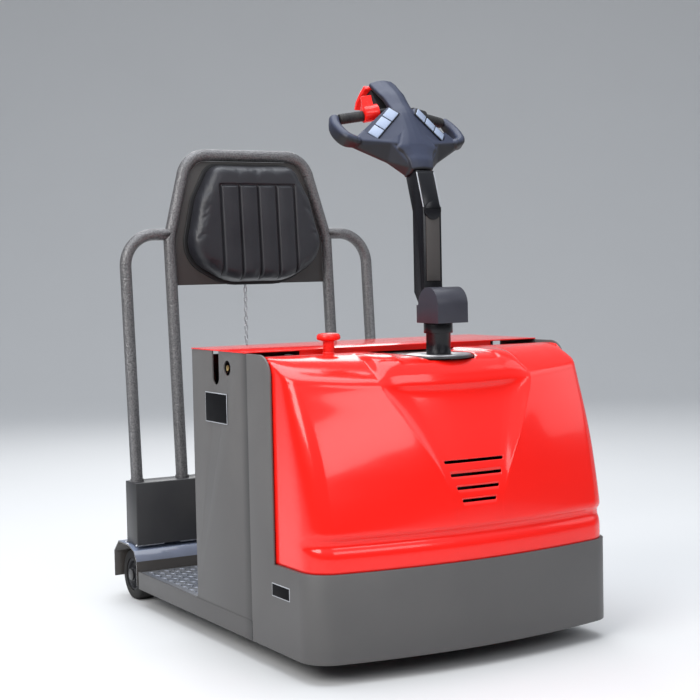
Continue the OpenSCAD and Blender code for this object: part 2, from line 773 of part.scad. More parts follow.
// Ball centres of the hand loop from the wing to the grip: x, back y, z, radius, front y.
loop = [[loop_x - 27, 2, 94, 11, -6], [loop_x - 7, 10, 105, 11.5, -6], [loop_x, 18, 130, 12, 2],
    [loop_x, 22, 157, 12, 10], [loop_x - 8, loop_end_y, grip_z + 1, 12.5, loop_end_y - 1]];

// The sloping panel with the buttons runs through these three ball centres of the wing.
panel_a = wing_top[0];
panel_b = wing_top[1];
panel_c = wing_top[2];
panel_x = (panel_b - panel_a) / norm(panel_b - panel_a);
panel_cross = cross(panel_b - panel_a, panel_c - panel_a);
panel_out = -panel_cross / norm(panel_cross);
panel_up = cross(panel_out, panel_x);
panel_r = 50;
// Puts things on the panel: X along the button row, Z out of the panel.
module on_panel(side) {
    p = panel_a + panel_out * head_ball;
    mirror([side < 0 ? 1 : 0, 0, 0])
        multmatrix([[panel_x[0], panel_up[0], panel_out[0], p[0]], [panel_x[1], panel_up[1], panel_out[1], p[1]],
            [panel_x[2], panel_up[2], panel_out[2], p[2]], [0, 0, 0, 1]]) children();
}

module spine_section(s, r) {
    for (side = [-1, 1], y = [s[2], s[3]]) ball([side * s[1], y, s[0]], r);
    ball([0, s[2] - s[4], s[0]], r);
}

// Top line of the dark inner body and of the plate over it: length and height.
core_top = [[-2, head_l - 3], [20, head_l], [44, head_l - 2]];
module head_core() {
    across(0, 66) polygon(concat([[10, 105], [-12, 115], [-12, 158], [-4, 172]], core_top,
        [[44, 176], [26, 140], [14, 108]]));
    for (side = [-1, 1]) on_grip_line(side, drum_mid, drum_from - 41) cylinder(r = 7, h = 41 - seat_gap, $fn = 32);
}

module head_shell() {
    color("#454b5a") difference() {
        in_head() {
            for (i = [0:len(spine) - 2]) hull() {
                spine_section(spine[i], head_ball);
                spine_section(spine[i + 1], head_ball);
            }
            for (side = [-1, 1]) {
                for (part = [wing_top, wing_low, wing_tip])
                    hull() for (b = part) ball([side * b[0], b[1], b[2]], head_ball);
                for (i = [0:len(loop) - 2]) hull() for (b = [loop[i], loop[i + 1]], y = [b[1], b[4]])
                    ball([side * b[0], y, b[2]], b[3]);
            }
            head_core();
        }
        // The round flat panel under the buttons.
        in_head() for (side = [-1, 1]) on_panel(side) translate([47, -12, 0]) cylinder(r = panel_r, h = 30, $fn = 64);
        // The neck ends flat on the arm.
        place() translate([0, neck_y, neck_z]) rotate([-arm_lean, 0, 0])
            translate([-60, -60, seat_gap - 60]) cube([120, 120, 60]);
    }
}

module head_grips() {
    start = drum_to + seat_gap;
    in_head() color("#202124") for (side = [-1, 1])
        on_grip_line(side, [grip_from[1], grip_z], start) cylinder(r = grip_r, h = grip_len - start, $fn = 48);
}

module throttles() {
    in_head() color(signal_red) for (t = throttle_set) on_grip_line(t[0], drum_mid, drum_from) {
        cylinder(r = t[1], h = drum_to - drum_from, $fn = 64);
        translate([0, 0, drum_to - drum_from - 25]) linear_extrude(25) rotate([0, 0, t[0] < 0 ? -t[2] : 180 + t[2]])
            polygon([[6, 9], [t[3], 2.5], [t[3], -2.5], [t[3] - 12, -5], [t[1] - 4, -11], [4, -12]]);
    }
}

module belly_plate() {
    over = [for (c = core_top) [c[0], c[1] + seat_gap + 0.1]];
    in_head() color(signal_red) across(0, 94) polygon(concat([[-3.4, head_l - 2.6]], over,
        [[63, head_l - 9], [67, head_l - 3], [50, head_l + 6], [20, head_l + 9], [-3.4, head_l + 8.2]]));
}

button_t = 5;
module head_buttons() {
    in_head() color("silver") for (side = [-1, 1], i = [0:2])
        on_panel(side) translate([2 + 31 * i, -28, seat_gap]) cube([28, 27, button_t]);
}

/* Backrest */

// Frame plane: X across, Y up along the lean from the pedestal, Z towards the front.
module in_frame() {
    place() translate([0, (pedestal_front + pedestal_back) / 2, pedestal_top])
        rotate([90 - frame_lean, 0, 0]) children();
}

module tube(from, to, r) {
    d = to - from;
    translate([from[0], from[1], 0]) rotate([0, 0, atan2(d[1], d[0])]) rotate([0, 90, 0])
        cylinder(r = r, h = norm(d), $fn = 48);
}

// Bend about a centre, from one angle to the next.
module bend(centre, radius, a0, a1, r) {
    translate([centre[0], centre[1], 0]) rotate([0, 0, a0]) rotate_extrude(angle = a1 - a0, $fn = 96)
        translate([radius, 0]) circle(r, $fn = 48);
}

shoulder_x = inner_x;
shoulder_bend = 80;
shoulder_cut = shoulder_bend * tan(shoulder_angle / 2);
foot_rise = 1.5;
foot_collar_h = 7;
top_corner_x = shoulder_x - (frame_h - shoulder_h) * tan(shoulder_angle);
top_turn = 90 - shoulder_angle;
top_cut = frame_bend * tan(top_turn / 2);
top_flat_x = top_corner_x - top_cut;
lean_dir = [-sin(shoulder_angle), cos(shoulder_angle)];
lean_from = [shoulder_x, shoulder_h] + lean_dir * shoulder_cut;
lean_to = [top_corner_x, frame_h] - lean_dir * top_cut;

// Round weld collar that stands level on the pedestal around a tube's foot.
module foot_collar(x, r) {
    place() translate([x, (pedestal_front + pedestal_back) / 2, pedestal_top])
        cylinder(r = r + 2.5, h = foot_collar_h, $fn = 64);
}

// Each bend is a sleeve a little wider than the straight tubes that run into it.
sleeve = 0.3;
run_in = 2;
module frame_rail(side) {
    turn = side < 0 ? 180 - shoulder_angle : 0;
    low = shoulder_h - shoulder_cut;
    from = lean_from - lean_dir * run_in;
    to = lean_to + lean_dir * run_in;
    tube([side * shoulder_x, foot_rise], [side * shoulder_x, low + run_in], tube_r);
    bend([side * (shoulder_x - shoulder_bend), low], shoulder_bend, turn, turn + shoulder_angle,
        tube_r + sleeve);
    tube([side * from[0], from[1]], [side * to[0], to[1]], tube_r);
}

module backrest_frame() {
    color(tube_grey) {
        in_frame() {
            frame_rail(-1);
            frame_rail(1);
            bend([top_flat_x, frame_h - frame_bend], frame_bend, shoulder_angle, 90, tube_r + sleeve);
            bend([-top_flat_x, frame_h - frame_bend], frame_bend, 90, 180 - shoulder_angle, tube_r + sleeve);
            tube([-top_flat_x - run_in, frame_h], [top_flat_x + run_in, frame_h], tube_r);
        }
        for (side = [-1, 1]) foot_collar(side * shoulder_x, tube_r);
    }
}

module armrest_tube() {
    in_frame() {
        tube([outer_x, foot_rise], [outer_x, armrest_h - armrest_bend], arm_tube_r);
        bend([outer_x - armrest_bend, armrest_h - armrest_bend], armrest_bend, 0, 90, arm_tube_r);
        difference() {
            tube([shoulder_x, armrest_h], [outer_x - armrest_bend, armrest_h], arm_tube_r);
            tube([shoulder_x, shoulder_h] - lean_dir * 60, lean_to, tube_r + seat_gap);
            translate([shoulder_x - 60, armrest_h - 40, -40]) cube([50, 80, 80]);
        }
    }
    foot_collar(outer_x, arm_tube_r);
}
module armrest_left() {
    color(tube_grey) mirror([1, 0, 0]) armrest_tube();
}
module armrest_right() {
    color(tube_grey) armrest_tube();
}

module back_plate() {
    inset = tube_r + sleeve + seat_gap;
    side = [cos(shoulder_angle), sin(shoulder_angle)] * inset;
    low_x = shoulder_x - inset;
    bend_point = [low_x, shoulder_h - inset * tan(shoulder_angle / 2)];
    lean_point = lean_to - side;
    color(steel_grey) in_frame() translate([0, 0, -back_plate_t / 2]) linear_extrude(back_plate_t) {
        polygon([[-low_x, back_plate_h], [low_x, back_plate_h], bend_point, lean_point,
            [top_flat_x, frame_h - inset], [-top_flat_x, frame_h - inset], [-lean_point[0], lean_point[1]],
            [-bend_point[0], bend_point[1]]]);
        for (s = [-1, 1])
            translate([s * top_flat_x, frame_h - frame_bend]) circle(frame_bend - inset, $fn = 96);
    }
}

// Outline circles of the pad: x, height, radius.
pad_circles = [[100, 822, 44], [118, 640, 90], [0, 675, 148]];
module back_pad() {
    color("#1b1c20") in_frame() translate([0, 0, back_plate_t / 2 + seat_gap])
        linear_extrude(pad_t) hull() for (c = pad_circles, side = [-1, 1])
            translate([side * c[0], c[1]]) circle(c[2], $fn = 64);
}

/* Tow coupling */

jaw_z = fender_top + 16;
jaw_levels = 3;
jaw_pitch = jaw_t + jaw_gap;
pin_foot = jaw_z - 8;
pin_head = jaw_z + (jaw_levels - 1) * jaw_pitch + jaw_t;

module tow_jaw() {
    place() color("#4a4a4c") difference() {
        union() {
            translate([-60, pedestal_back, fender_top + 4]) cube([120, 8, pedestal_h - 12]);
            for (i = [0:jaw_levels - 1]) translate([0, 0, jaw_z + i * jaw_pitch]) {
                translate([0, pin_y, 0]) cylinder(r = jaw_r, h = jaw_t, $fn = 96);
                translate([-jaw_r, pedestal_back + 7, 0]) cube([2 * jaw_r, pin_reach - 7, jaw_t]);
            }
        }
        translate([0, pin_y, jaw_z - 1]) cylinder(r = tow_pin_r + 1, h = 2.5 * jaw_pitch, $fn = 64);
    }
}

ring_r = 15;
ring_wire = 2.2;
module tow_pin() {
    place() color("#8a8c90") translate([0, pin_y, 0]) {
        translate([0, 0, pin_foot]) cylinder(r = tow_pin_r, h = pin_head - pin_foot + 1, $fn = 64);
        translate([0, 0, pin_head + seat_gap]) cylinder(r = tow_pin_r + 8, h = 6, $fn = 64);
        translate([0, 0, pin_head + 6]) cylinder(r = 5, h = 10, $fn = 32);
        translate([0, 0, pin_head + 14 + ring_r]) rotate([90, 0, 0]) rotate_extrude($fn = 64)
            translate([ring_r, 0]) circle(ring_wire, $fn = 24);
    }
}

// One link, long way up, lying in the XZ plane.
link_bend = 4;
module chain_link() {
    straight = link_l - 2 * (link_bend - wire_r);
    for (end = [-1, 1]) {
        translate([0, 0, end * straight / 2]) rotate([90, end < 0 ? 180 : 0, 0])
            rotate_extrude(angle = 180, $fn = 32) translate([link_bend, 0]) circle(wire_r, $fn = 16);
        translate([end * link_bend, 0, -straight / 2]) cylinder(r = wire_r, h = straight, $fn = 16);
    }
}

chain_from = pin_head + 14 + 2 * ring_r - ring_wire - seat_gap;
chain_pitch = link_l - seat_gap;
hook_z = pedestal_top + back_plate_h + 29;
chain_count = floor((hook_z - chain_from) / chain_pitch);
module tow_chain() {
    place() color("#b8babd") for (i = [0:chain_count - 1])
        translate([0, pin_y, chain_from + link_l / 2 + i * chain_pitch])
            rotate([0, 0, i % 2 == 0 ? 90 : 0]) chain_link();
}

/* Battery lid and its hinge */

hinge_y = wall_back + 8;
hinge_z = lid_top - lid_t - hinge_r;
hinge_xs = [-250, 250];
knuckle = 40;
knuckle_gap = 1;

module lid_hinge() {
    place() color("#4a4a4c") for (x = hinge_xs) {
        across(x, knuckle) {
            translate([hinge_y, hinge_z]) circle(hinge_r, $fn = 48);
            translate([bulkhead_y + sheet_t, hinge_z - 30]) square([3, 30]);
            translate([bulkhead_y + sheet_t, hinge_z - hinge_r]) square([hinge_y - bulkhead_y - sheet_t, hinge_r]);
        }
        across(x, knuckle + 44) translate([hinge_y, hinge_z]) circle(hinge_pin_r, $fn = 48);
    }
}

module battery_lid() {
    place() color(signal_red) {
        translate([-half_w, lid_front, lid_top - lid_t]) cube([body_w, wall_back - lid_front, lid_t]);
        translate([hand_gap - half_w, lid_front, lid_top - lid_flange_h])
            cube([body_w - 2 * hand_gap, lid_t, lid_flange_h]);
        for (x = hinge_xs, side = [-1, 1])
            across(x + side * (knuckle / 2 + knuckle_gap + 10), 20) difference() {
                union() {
                    translate([hinge_y, hinge_z]) circle(hinge_r, $fn = 48);
                    translate([wall_back - 12, hinge_z + hinge_r - 2.5]) square([hinge_y - wall_back + 12, 2.5]);
                }
                translate([hinge_y, hinge_z]) circle(hinge_pin_r + run_gap, $fn = 48);
            }
    }
}

front_skirt();
side_wall_left();
side_wall_right();
deck_plate();
bulkhead();
floor_pan();
drive_bridge();
battery_block();
control_deck();
stop_knob();
key_switch();
hood();
column_plate();
rear_fender();
pedestal();
backrest_frame();
armrest_left();
armrest_right();
back_plate();
back_pad();
tow_jaw();
tow_pin();
tow_chain();
axle_left();
axle_right();
lid_hinge();
rear_tyre_left();
rear_hub_left();
rear_tyre_right();
rear_hub_right();
drive_tyre();
drive_hub();
steering_column();
drive_case();
drive_motor();
tiller_cover();
tiller_arm();
arm_cover();
head_shell();
head_grips();
throttles();
belly_plate();
head_buttons();
battery_lid();
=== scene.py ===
import bpy
import bmesh
import json
from math import radians, sin, cos, pi, exp
from mathutils import Vector, Matrix, noise


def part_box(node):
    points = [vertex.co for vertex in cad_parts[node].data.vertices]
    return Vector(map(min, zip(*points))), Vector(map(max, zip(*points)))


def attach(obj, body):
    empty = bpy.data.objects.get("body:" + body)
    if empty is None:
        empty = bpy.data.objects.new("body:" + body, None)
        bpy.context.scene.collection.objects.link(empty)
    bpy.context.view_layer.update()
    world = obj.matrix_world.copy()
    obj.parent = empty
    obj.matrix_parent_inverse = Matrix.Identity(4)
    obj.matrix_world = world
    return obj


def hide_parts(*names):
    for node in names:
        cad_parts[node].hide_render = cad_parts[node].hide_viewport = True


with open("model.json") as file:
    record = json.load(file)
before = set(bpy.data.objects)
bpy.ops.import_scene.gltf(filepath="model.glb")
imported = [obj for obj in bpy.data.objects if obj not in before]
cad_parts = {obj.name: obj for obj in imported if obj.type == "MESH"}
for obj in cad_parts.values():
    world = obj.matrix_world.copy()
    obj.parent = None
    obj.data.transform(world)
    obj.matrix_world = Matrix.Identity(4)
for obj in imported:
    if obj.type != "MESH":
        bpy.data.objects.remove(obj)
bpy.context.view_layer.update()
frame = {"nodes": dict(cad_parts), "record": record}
nodes = frame["nodes"]

# Lengths along the tractor are counted from the foremost point of its skirt
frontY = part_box("front_skirt")[0][1]
mm = .001


def at(x, y, z):
    return Vector((x * mm, frontY + y * mm, z * mm))


# Camera and studio

cameraSet = {
    "place": (-1918.2, -2740.4, 896.5), "yaw": 30.07, "pitch": 3.13, "roll": -1.16,
    "lens": 77.6, "sensor": 36,
}


def setCamera(c):
    yaw, pitch, roll = radians(c["yaw"]), radians(c["pitch"]), radians(c["roll"])
    look = Vector((sin(yaw) * cos(pitch), cos(yaw) * cos(pitch), -sin(pitch)))
    right = Vector((cos(yaw), -sin(yaw), 0))
    up = right.cross(look)
    tiltedRight = right * cos(roll) + up * sin(roll)
    tiltedUp = up * cos(roll) - right * sin(roll)
    data = bpy.data.cameras.new("camera")
    data.lens = c["lens"]
    data.sensor_width = c["sensor"]
    data.sensor_fit = "HORIZONTAL"
    cam = bpy.data.objects.new("camera", data)
    turn = Matrix((tiltedRight, tiltedUp, -look)).transposed().to_4x4()
    cam.matrix_world = Matrix.Translation(at(*c["place"])) @ turn
    bpy.context.scene.collection.objects.link(cam)
    bpy.context.scene.camera = cam


# where each lamp stands, what it points at, its size, power and colour
lampSet = {
    "key": ((-4.4, -1.9, 3.4), (0, 0, .5), (3.2, 2.6), 210, (1, .985, .96)),
    "front": ((.4, -4.6, 2.6), (0, 0, .4), (3, 1.4), 46, (.97, .98, 1)),
    "side": ((3.8, -1.4, 2.4), (0, 0, .6), (2.2, 2.2), 14, (.95, .97, 1)),
    "top": ((-.3, .2, 4.8), (0, 0, 0), (4.6, 4.6), 230, (.93, .96, 1)),
    "rear": ((1.4, 3.8, 2.8), (0, .2, .7), (2.4, 1.8), 45, (1, 1, 1)),
}


def areaLight(name, place, target, size, power, colour):
    data = bpy.data.lights.new(name, "AREA")
    data.shape = "RECTANGLE"
    data.size, data.size_y = size
    data.energy = power
    data.color = colour
    lamp = bpy.data.objects.new(name, data)
    lamp.location = place
    lamp.rotation_euler = (Vector(target) - Vector(place)).to_track_quat("-Z", "Y").to_euler()
    bpy.context.scene.collection.objects.link(lamp)


# bright above, dim round the horizon, so that dark paint stays dark and level faces catch the light
skySet = {
    "strength": .8,
    "stops": ((0, (.2, .2, .2)), (.12, (.17, .17, .18)), (.35, (.4, .43, .48)), (.7, (.86, .92, 1))),
}


def makeSky():
    world = bpy.data.worlds.new("studio")
    world.use_nodes = True
    tree = world.node_tree
    place = tree.nodes.new("ShaderNodeTexCoord")
    split = tree.nodes.new("ShaderNodeSeparateXYZ")
    ramp = tree.nodes.new("ShaderNodeValToRGB")
    elements = ramp.color_ramp.elements
    while len(elements) < len(skySet["stops"]):
        elements.new(.5)
    for element, (spot, tone) in zip(elements, skySet["stops"]):
        element.position = spot
        element.color = (*tone, 1)
    tree.links.new(place.outputs["Generated"], split.inputs[0])
    tree.links.new(split.outputs["Z"], ramp.inputs["Fac"])
    tree.links.new(ramp.outputs["Color"], tree.nodes["Background"].inputs["Color"])
    tree.nodes["Background"].inputs["Strength"].default_value = skySet["strength"]
    bpy.context.scene.world = world


setCamera(cameraSet)
for name, lamp in lampSet.items():
    areaLight(name, *lamp)
makeSky()
bpy.context.scene.view_settings.view_transform = "Standard"
print("stage: camera and lights")


# Shader maths

class Wire:
    # one output socket; arithmetic on it adds the Math nodes
    def __init__(self, finish, socket):
        self.finish, self.socket = finish, socket

    def calc(self, operation, a, b=0, clamp=False):
        return self.finish.node("ShaderNodeMath", {"operation": operation, "use_clamp": clamp}, {0: a, 1: b})

    def __add__(self, other):
        return self.calc("ADD", self, other)

    __radd__ = __add__

    def __sub__(self, other):
        return self.calc("SUBTRACT", self, other)

    def __rsub__(self, other):
        return self.calc("SUBTRACT", other, self)

    def __mul__(self, other):
        return self.calc("MULTIPLY", self, other)

    __rmul__ = __mul__

    def __abs__(self):
        return self.calc("ABSOLUTE", self)

    def above(self, level):
        return self.calc("GREATER_THAN", self, level)

    def clamped(self):
        return self.calc("ADD", self, 0, clamp=True)


socketNames = {
    "rough": "Roughness", "metal": "Metallic", "coat": "Coat Weight", "coatRough": "Coat Roughness",
    "specular": "Specular IOR Level",
}


class Finish:
    # a material on the Principled shader; constants are set straight on its sockets
    def __init__(self, name, colour, **constants):
        self.material = bpy.data.materials.new(name)
        self.material.use_nodes = True
        self.tree = self.material.node_tree
        self.shader = self.tree.nodes["Principled BSDF"]
        self.set("Base Color", (*colour, 1))
        for key, value in constants.items():
            self.set(socketNames[key], value)
        self.place = self.node("ShaderNodeTexCoord", {}, {}, "Object")
        self.height = None

    def set(self, name, value):
        socket = self.shader.inputs[name]
        if isinstance(value, Wire):
            self.tree.links.new(value.socket, socket)
        else:
            socket.default_value = value

    def node(self, kind, settings, sockets, out=0):
        n = self.tree.nodes.new(kind)
        for key, value in settings.items():
            setattr(n, key, value)
        for key, value in sockets.items():
            if isinstance(value, Wire):
                self.tree.links.new(value.socket, n.inputs[key])
            else:
                n.inputs[key].default_value = value
        return Wire(self, n.outputs[out])

    def along(self, axis, vector=None):
        return self.node("ShaderNodeSeparateXYZ", {}, {"Vector": vector or self.place}, axis)

    def scaled(self, x, y, z):
        return self.node("ShaderNodeMapping", {}, {"Vector": self.place, "Scale": (x, y, z)})

    def noise(self, scale, detail=2, rough=.5, vector=None):
        sockets = {"Vector": vector or self.place, "Scale": scale, "Detail": detail, "Roughness": rough}
        return self.node("ShaderNodeTexNoise", {}, sockets)

    def cells(self, scale):
        return self.node("ShaderNodeTexVoronoi", {}, {"Vector": self.place, "Scale": scale}, "Distance")

    def mix(self, factor, a, b):
        return self.node("ShaderNodeMix", {"data_type": "RGBA"}, {"Factor": factor, 6: a, 7: b}, 2)

    def tint(self, mask, colour):
        # mixes a second colour over the base by a mask from 0 to 1
        base = self.shader.inputs["Base Color"]
        now = Wire(self, base.links[0].from_socket) if base.is_linked else tuple(base.default_value)
        self.set("Base Color", self.mix(mask, now, (*colour, 1)))

    def bump(self, height, depth, strength=1):
        settings = {"Height": height, "Distance": depth, "Strength": strength}
        if self.height:
            settings["Normal"] = self.height
        self.height = self.node("ShaderNodeBump", {}, settings, "Normal")
        self.set("Normal", self.height)


def shade(colour, amount):
    return tuple(c * amount for c in colour)


def glossPaint(name, colour, deep, rough=.12, coat=.4):
    f = Finish(name, colour, coat=coat, coatRough=.06, specular=.3)
    cloud = f.noise(3.2, 3)
    f.set("Base Color", f.mix((cloud * .8).clamped(), (*colour, 1), (*deep, 1)))
    f.set("Roughness", rough + f.noise(60, 4) * .1)
    f.bump(f.noise(16, 2), .0006, .35)   # slight waviness of a moulded skin
    f.bump(f.noise(900, 2), .00004, .4)   # fine orange peel
    return f


def satinSteel(name, colour, worn, rough=.38):
    f = Finish(name, colour, specular=.45)
    dust = f.noise(9, 5, .6)
    f.set("Base Color", f.mix((dust * 1.4 - .35).clamped(), (*colour, 1), (*worn, 1)))
    f.set("Roughness", rough + dust * .14)
    f.bump(f.noise(5, 2), .0012, .25)   # rolled sheet is never quite flat
    f.bump(f.noise(700, 3), .00005, .5)
    return f


def mouldedPlastic(name, colour, rough=.45, grain=1100, depth=.00006):
    f = Finish(name, colour, specular=.42)
    f.set("Roughness", rough + f.noise(40, 4) * .14)
    f.tint((f.noise(14, 4) * .5).clamped(), shade(colour, .72))
    f.bump(f.cells(grain), depth, .6)
    return f


def hammeredTube(name, colour):
    f = Finish(name, colour, metal=.35, specular=.5)
    dimples = f.cells(210)
    # painted shade in the dimples and painted light on their rims: a darker and a lighter copy of the colour
    # mixed by the depth of each dent
    f.set("Base Color", f.mix((dimples * 1.5).clamped(), (*shade(colour, .45), 1), (*shade(colour, 1.15), 1)))
    f.set("Roughness", .28 + dimples * .16)
    f.bump(dimples, .0009, 1)
    return f


def brushedSteel(name, colour, rough=.24):
    f = Finish(name, colour, metal=1)
    lines = f.noise(80, 5, .7, f.scaled(1, 1, 22))
    f.set("Roughness", rough + lines * .2)
    f.tint((f.noise(22, 4) * .7 - .1).clamped(), shade(colour, .62))
    f.bump(lines, .00008, .5)
    return f


def rubber(name, colour, rough=.72):
    f = Finish(name, colour, specular=.3)
    f.set("Roughness", rough + f.noise(120, 3) * .14)
    f.tint((f.noise(26, 5) * 1.5 - .6).clamped(), (.06, .056, .05))   # dust
    f.bump(f.noise(1300, 3), .00012, .6)
    return f


def padVinyl(name, colour):
    f = Finish(name, colour, specular=.4, coat=.12, coatRough=.3)
    f.set("Roughness", .36 + f.noise(30, 4) * .16)
    f.tint((f.noise(11, 4) * .9 - .2).clamped(), (.03, .031, .036))
    f.bump(f.cells(620), .00016, .7)
    f.bump(f.noise(1500, 2), .00006, .4)   # pores
    return f


def castIron(name, colour):
    f = Finish(name, colour, metal=.2, specular=.35)
    f.set("Roughness", .62 + f.noise(60, 4) * .2)
    f.tint((f.noise(18, 5) * 1.3 - .5).clamped(), (.11, .085, .065))
    f.bump(f.noise(260, 4), .0005, .7)
    return f


def chequerPaint(name, colour):
    f = Finish(name, colour, metal=.25, specular=.5)
    scuff = f.noise(7, 6, .65)
    f.set("Base Color", f.mix((scuff * 1.7 - .55).clamped(), (*colour, 1), (.23, .225, .22, 1)))
    f.set("Roughness", .3 + scuff * .22)
    f.bump(f.noise(420, 3), .00008, .5)
    return f


def paintedShadeBelow(f, level, colour):
    # painted shade that grows towards the ground: the paint turns darker below a level
    f.tint(((level - f.along("Z")) * 1.1 + f.noise(6, 4) * .12 - .05).clamped(), colour)


def sideJoint(f, place, outside):
    # dark line and soft shade where the front wrap meets the side walls, on the outer faces alone
    outer = abs(f.along("X")).above(outside)
    behind = f.along("Y") - place
    soft = (1 - behind * 26).clamped() * behind.above(0)
    line = (1.8 - abs(behind) * 900).clamped()
    f.tint((outer * soft * .8).clamped(), (.04, .039, .04))
    f.tint((outer * line * .85).clamped(), (.012, .012, .012))


def paintedSkyOnTop(f, colour, start, end):
    # painted sky reflection and light on the faces that look up, from a slope where it starts to one where it
    # is full
    up = f.along("Z", f.node("ShaderNodeTexCoord", {}, {}, "Normal"))
    f.tint(((up - start) * (1 / (end - start)) + f.noise(30, 4) * .16 - .08).clamped(), colour)


def seamed(f, reach):
    # dark joint line between the middle and the outer part of the head
    line = (1.6 - abs(abs(f.along("X")) - reach) * 1800).clamped()
    f.tint(line, (.003, .003, .005))
    f.bump(1 - line, .0006, .8)


finishes = {
    "steel_paint": satinSteel("steelPaint", (.104, .1, .099), (.125, .12, .117)),
    "chequer_plate": chequerPaint("chequerPlate", (.09, .1, .125)),
    "dark_steel": satinSteel("darkSteel", (.028, .028, .03), (.045, .043, .041), .24),
    "tube_paint": hammeredTube("tubePaint", (.128, .125, .128)),
    "bright_steel": brushedSteel("brightSteel", (.62, .62, .64)),
    "cast_case": castIron("castCase", (.03, .03, .032)),
    "hood_gloss": glossPaint("hoodGloss", (.93, .013, .008), (.86, .01, .006)),
    "lid_gloss": glossPaint("lidGloss", (.88, .014, .01), (.8, .011, .008), .14),
    "signal_plastic": glossPaint("signalPlastic", (.93, .016, .01), (.86, .013, .009), .22),
    "gloss_black": glossPaint("glossBlack", (.004, .004, .006), (.007, .007, .009), .2, .06),
    "dark_plastic": mouldedPlastic("darkPlastic", (.008, .008, .009), .5),
    "tiller_plastic": mouldedPlastic("tillerPlastic", (.032, .032, .044), .36),
    "head_plastic": mouldedPlastic("headPlastic", (.01, .009, .011), .38),
    "button_silver": mouldedPlastic("buttonSilver", (.31, .37, .5), .3, 900, .00003),
    "grip_rubber": rubber("gripRubber", (.01, .01, .013), .5),
    "pad_vinyl": padVinyl("padVinyl", (.011, .011, .015)),
    "tyre_rubber": rubber("tyreRubber", (.014, .014, .015)),
    "wheel_centre": mouldedPlastic("wheelCentre", (.02, .02, .023), .42, 500, .0001),
}
wallSide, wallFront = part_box("side_wall_left")[0][:2]
# painted shade on the low parts of the steel paint
paintedShadeBelow(finishes["steel_paint"], .5, (.05, .049, .05))
sideJoint(finishes["steel_paint"], wallFront, abs(wallSide) - .009)
# painted light and sky reflection on the upper faces of the head, so that its underside reads darker
paintedSkyOnTop(finishes["head_plastic"], (.024, .031, .062), -.25, .45)
seamed(finishes["head_plastic"], .14)
# pieces whose paint differs from the rest of their slot; the beam and the back plate get darker copies that
# are painted shade
ownFinish = {
    "rear_fender": glossPaint("fenderPaint", (.05, .045, .042), (.06, .055, .05), .16, .8),
    # painted shade: a darker copy of the steel paint stands in for the shade on the beam behind the body
    "pedestal": satinSteel("beamShadedPaint", (.03, .03, .033), (.045, .044, .044), .3),
    # painted shade: a darker copy of the frame's paint stands in for the shade on the plate behind the pad
    "back_plate": satinSteel("backShadedPaint", (.036, .033, .032), (.05, .045, .042), .4),
    "arm_cover": mouldedPlastic("armFront", (.06, .053, .05), .5),
    "lock": brushedSteel("lockBrass", (.6, .42, .16)),
    "edging": mouldedPlastic("edging", (.42, .43, .46), .35, 900, .00003),
    "plateFace": mouldedPlastic("plateFace", (.004, .004, .005), .6, 1500, .00002),
    "lozenge": brushedSteel("lozengeTop", (.27, .285, .33), .38),
    "weld": brushedSteel("weldBead", (.5, .51, .54), .4),
}
# painted sky reflection on the upper faces of the fender
paintedSkyOnTop(ownFinish["rear_fender"], (.19, .225, .32), .25, .8)
ownFinish["plateFace"].set("Specular IOR Level", .1)
print("stage: finishes")


# Helpers for pieces

def share(value):
    # keeps a value between 0 and 1
    return max(0, min(1, value))


def smoothShaded(mesh):
    for face in mesh.polygons:
        face.use_smooth = True


def meshObject(name, bm, sharp=32, clean=True):
    if clean:
        bmesh.ops.remove_doubles(bm, verts=bm.verts, dist=1e-6)
        bmesh.ops.recalc_face_normals(bm, faces=bm.faces)
    mesh = bpy.data.meshes.new(name)
    bm.to_mesh(mesh)
    bm.free()
    smoothShaded(mesh)
    mesh.set_sharp_from_angle(angle=radians(sharp))
    obj = bpy.data.objects.new(name, mesh)
    bpy.context.scene.collection.objects.link(obj)
    return obj


def bodyOfNode(node):
    for body, held in frame["record"]["behaviour"]["bodies"].items():
        if node in held:
            return body


def dress(obj, slotName, body, *stands, own=None):
    # own names a finish that differs from the rest of the slot
    obj.data.materials.clear()
    obj.data.materials.append(ownFinish.get(own, finishes[slotName]).material)
    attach(obj, body)
    if stands:
        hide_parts(*stands)


def settled(obj, *helpers):
    # bakes the modifiers of obj into its mesh and removes the helper objects
    baked = bpy.data.meshes.new_from_object(obj.evaluated_get(bpy.context.evaluated_depsgraph_get()))
    obj.modifiers.clear()
    obj.data = baked
    for h in helpers:
        bpy.data.objects.remove(h)


def cutWith(obj, cutter, crossing=False):
    cut = obj.modifiers.new("cut", "BOOLEAN")
    cut.object = cutter
    cut.operation = "DIFFERENCE"
    cut.solver = "EXACT"
    cut.use_self = crossing
    settled(obj, cutter)


def sharpEdges(bm):
    return [e for e in bm.edges if e.calc_face_angle(0) > radians(30)]


def rounded(bm, edges, radius, segments=2, clamp=True):
    bmesh.ops.bevel(bm, geom=edges, offset=radius, offset_type="OFFSET", affect="EDGES", segments=segments,
                    profile=.5, material=-1, clamp_overlap=clamp)


def block(bm, low, high, edge=0, segments=2):
    # a box between two corners with rounded edges
    made = bmesh.ops.create_cube(bm, size=1)
    bmesh.ops.scale(bm, vec=high - low, verts=made["verts"])
    bmesh.ops.translate(bm, vec=(low + high) / 2, verts=made["verts"])
    if edge:
        rounded(bm, list({e for v in made["verts"] for e in v.link_edges}), edge, segments, False)


def disc(bm, radius, deep, segments, place):
    # a round block about the Z axis of place, sizes in mm
    bmesh.ops.create_cone(bm, cap_ends=True, segments=segments, radius1=radius * mm, radius2=radius * mm,
                          depth=deep * mm, matrix=place)


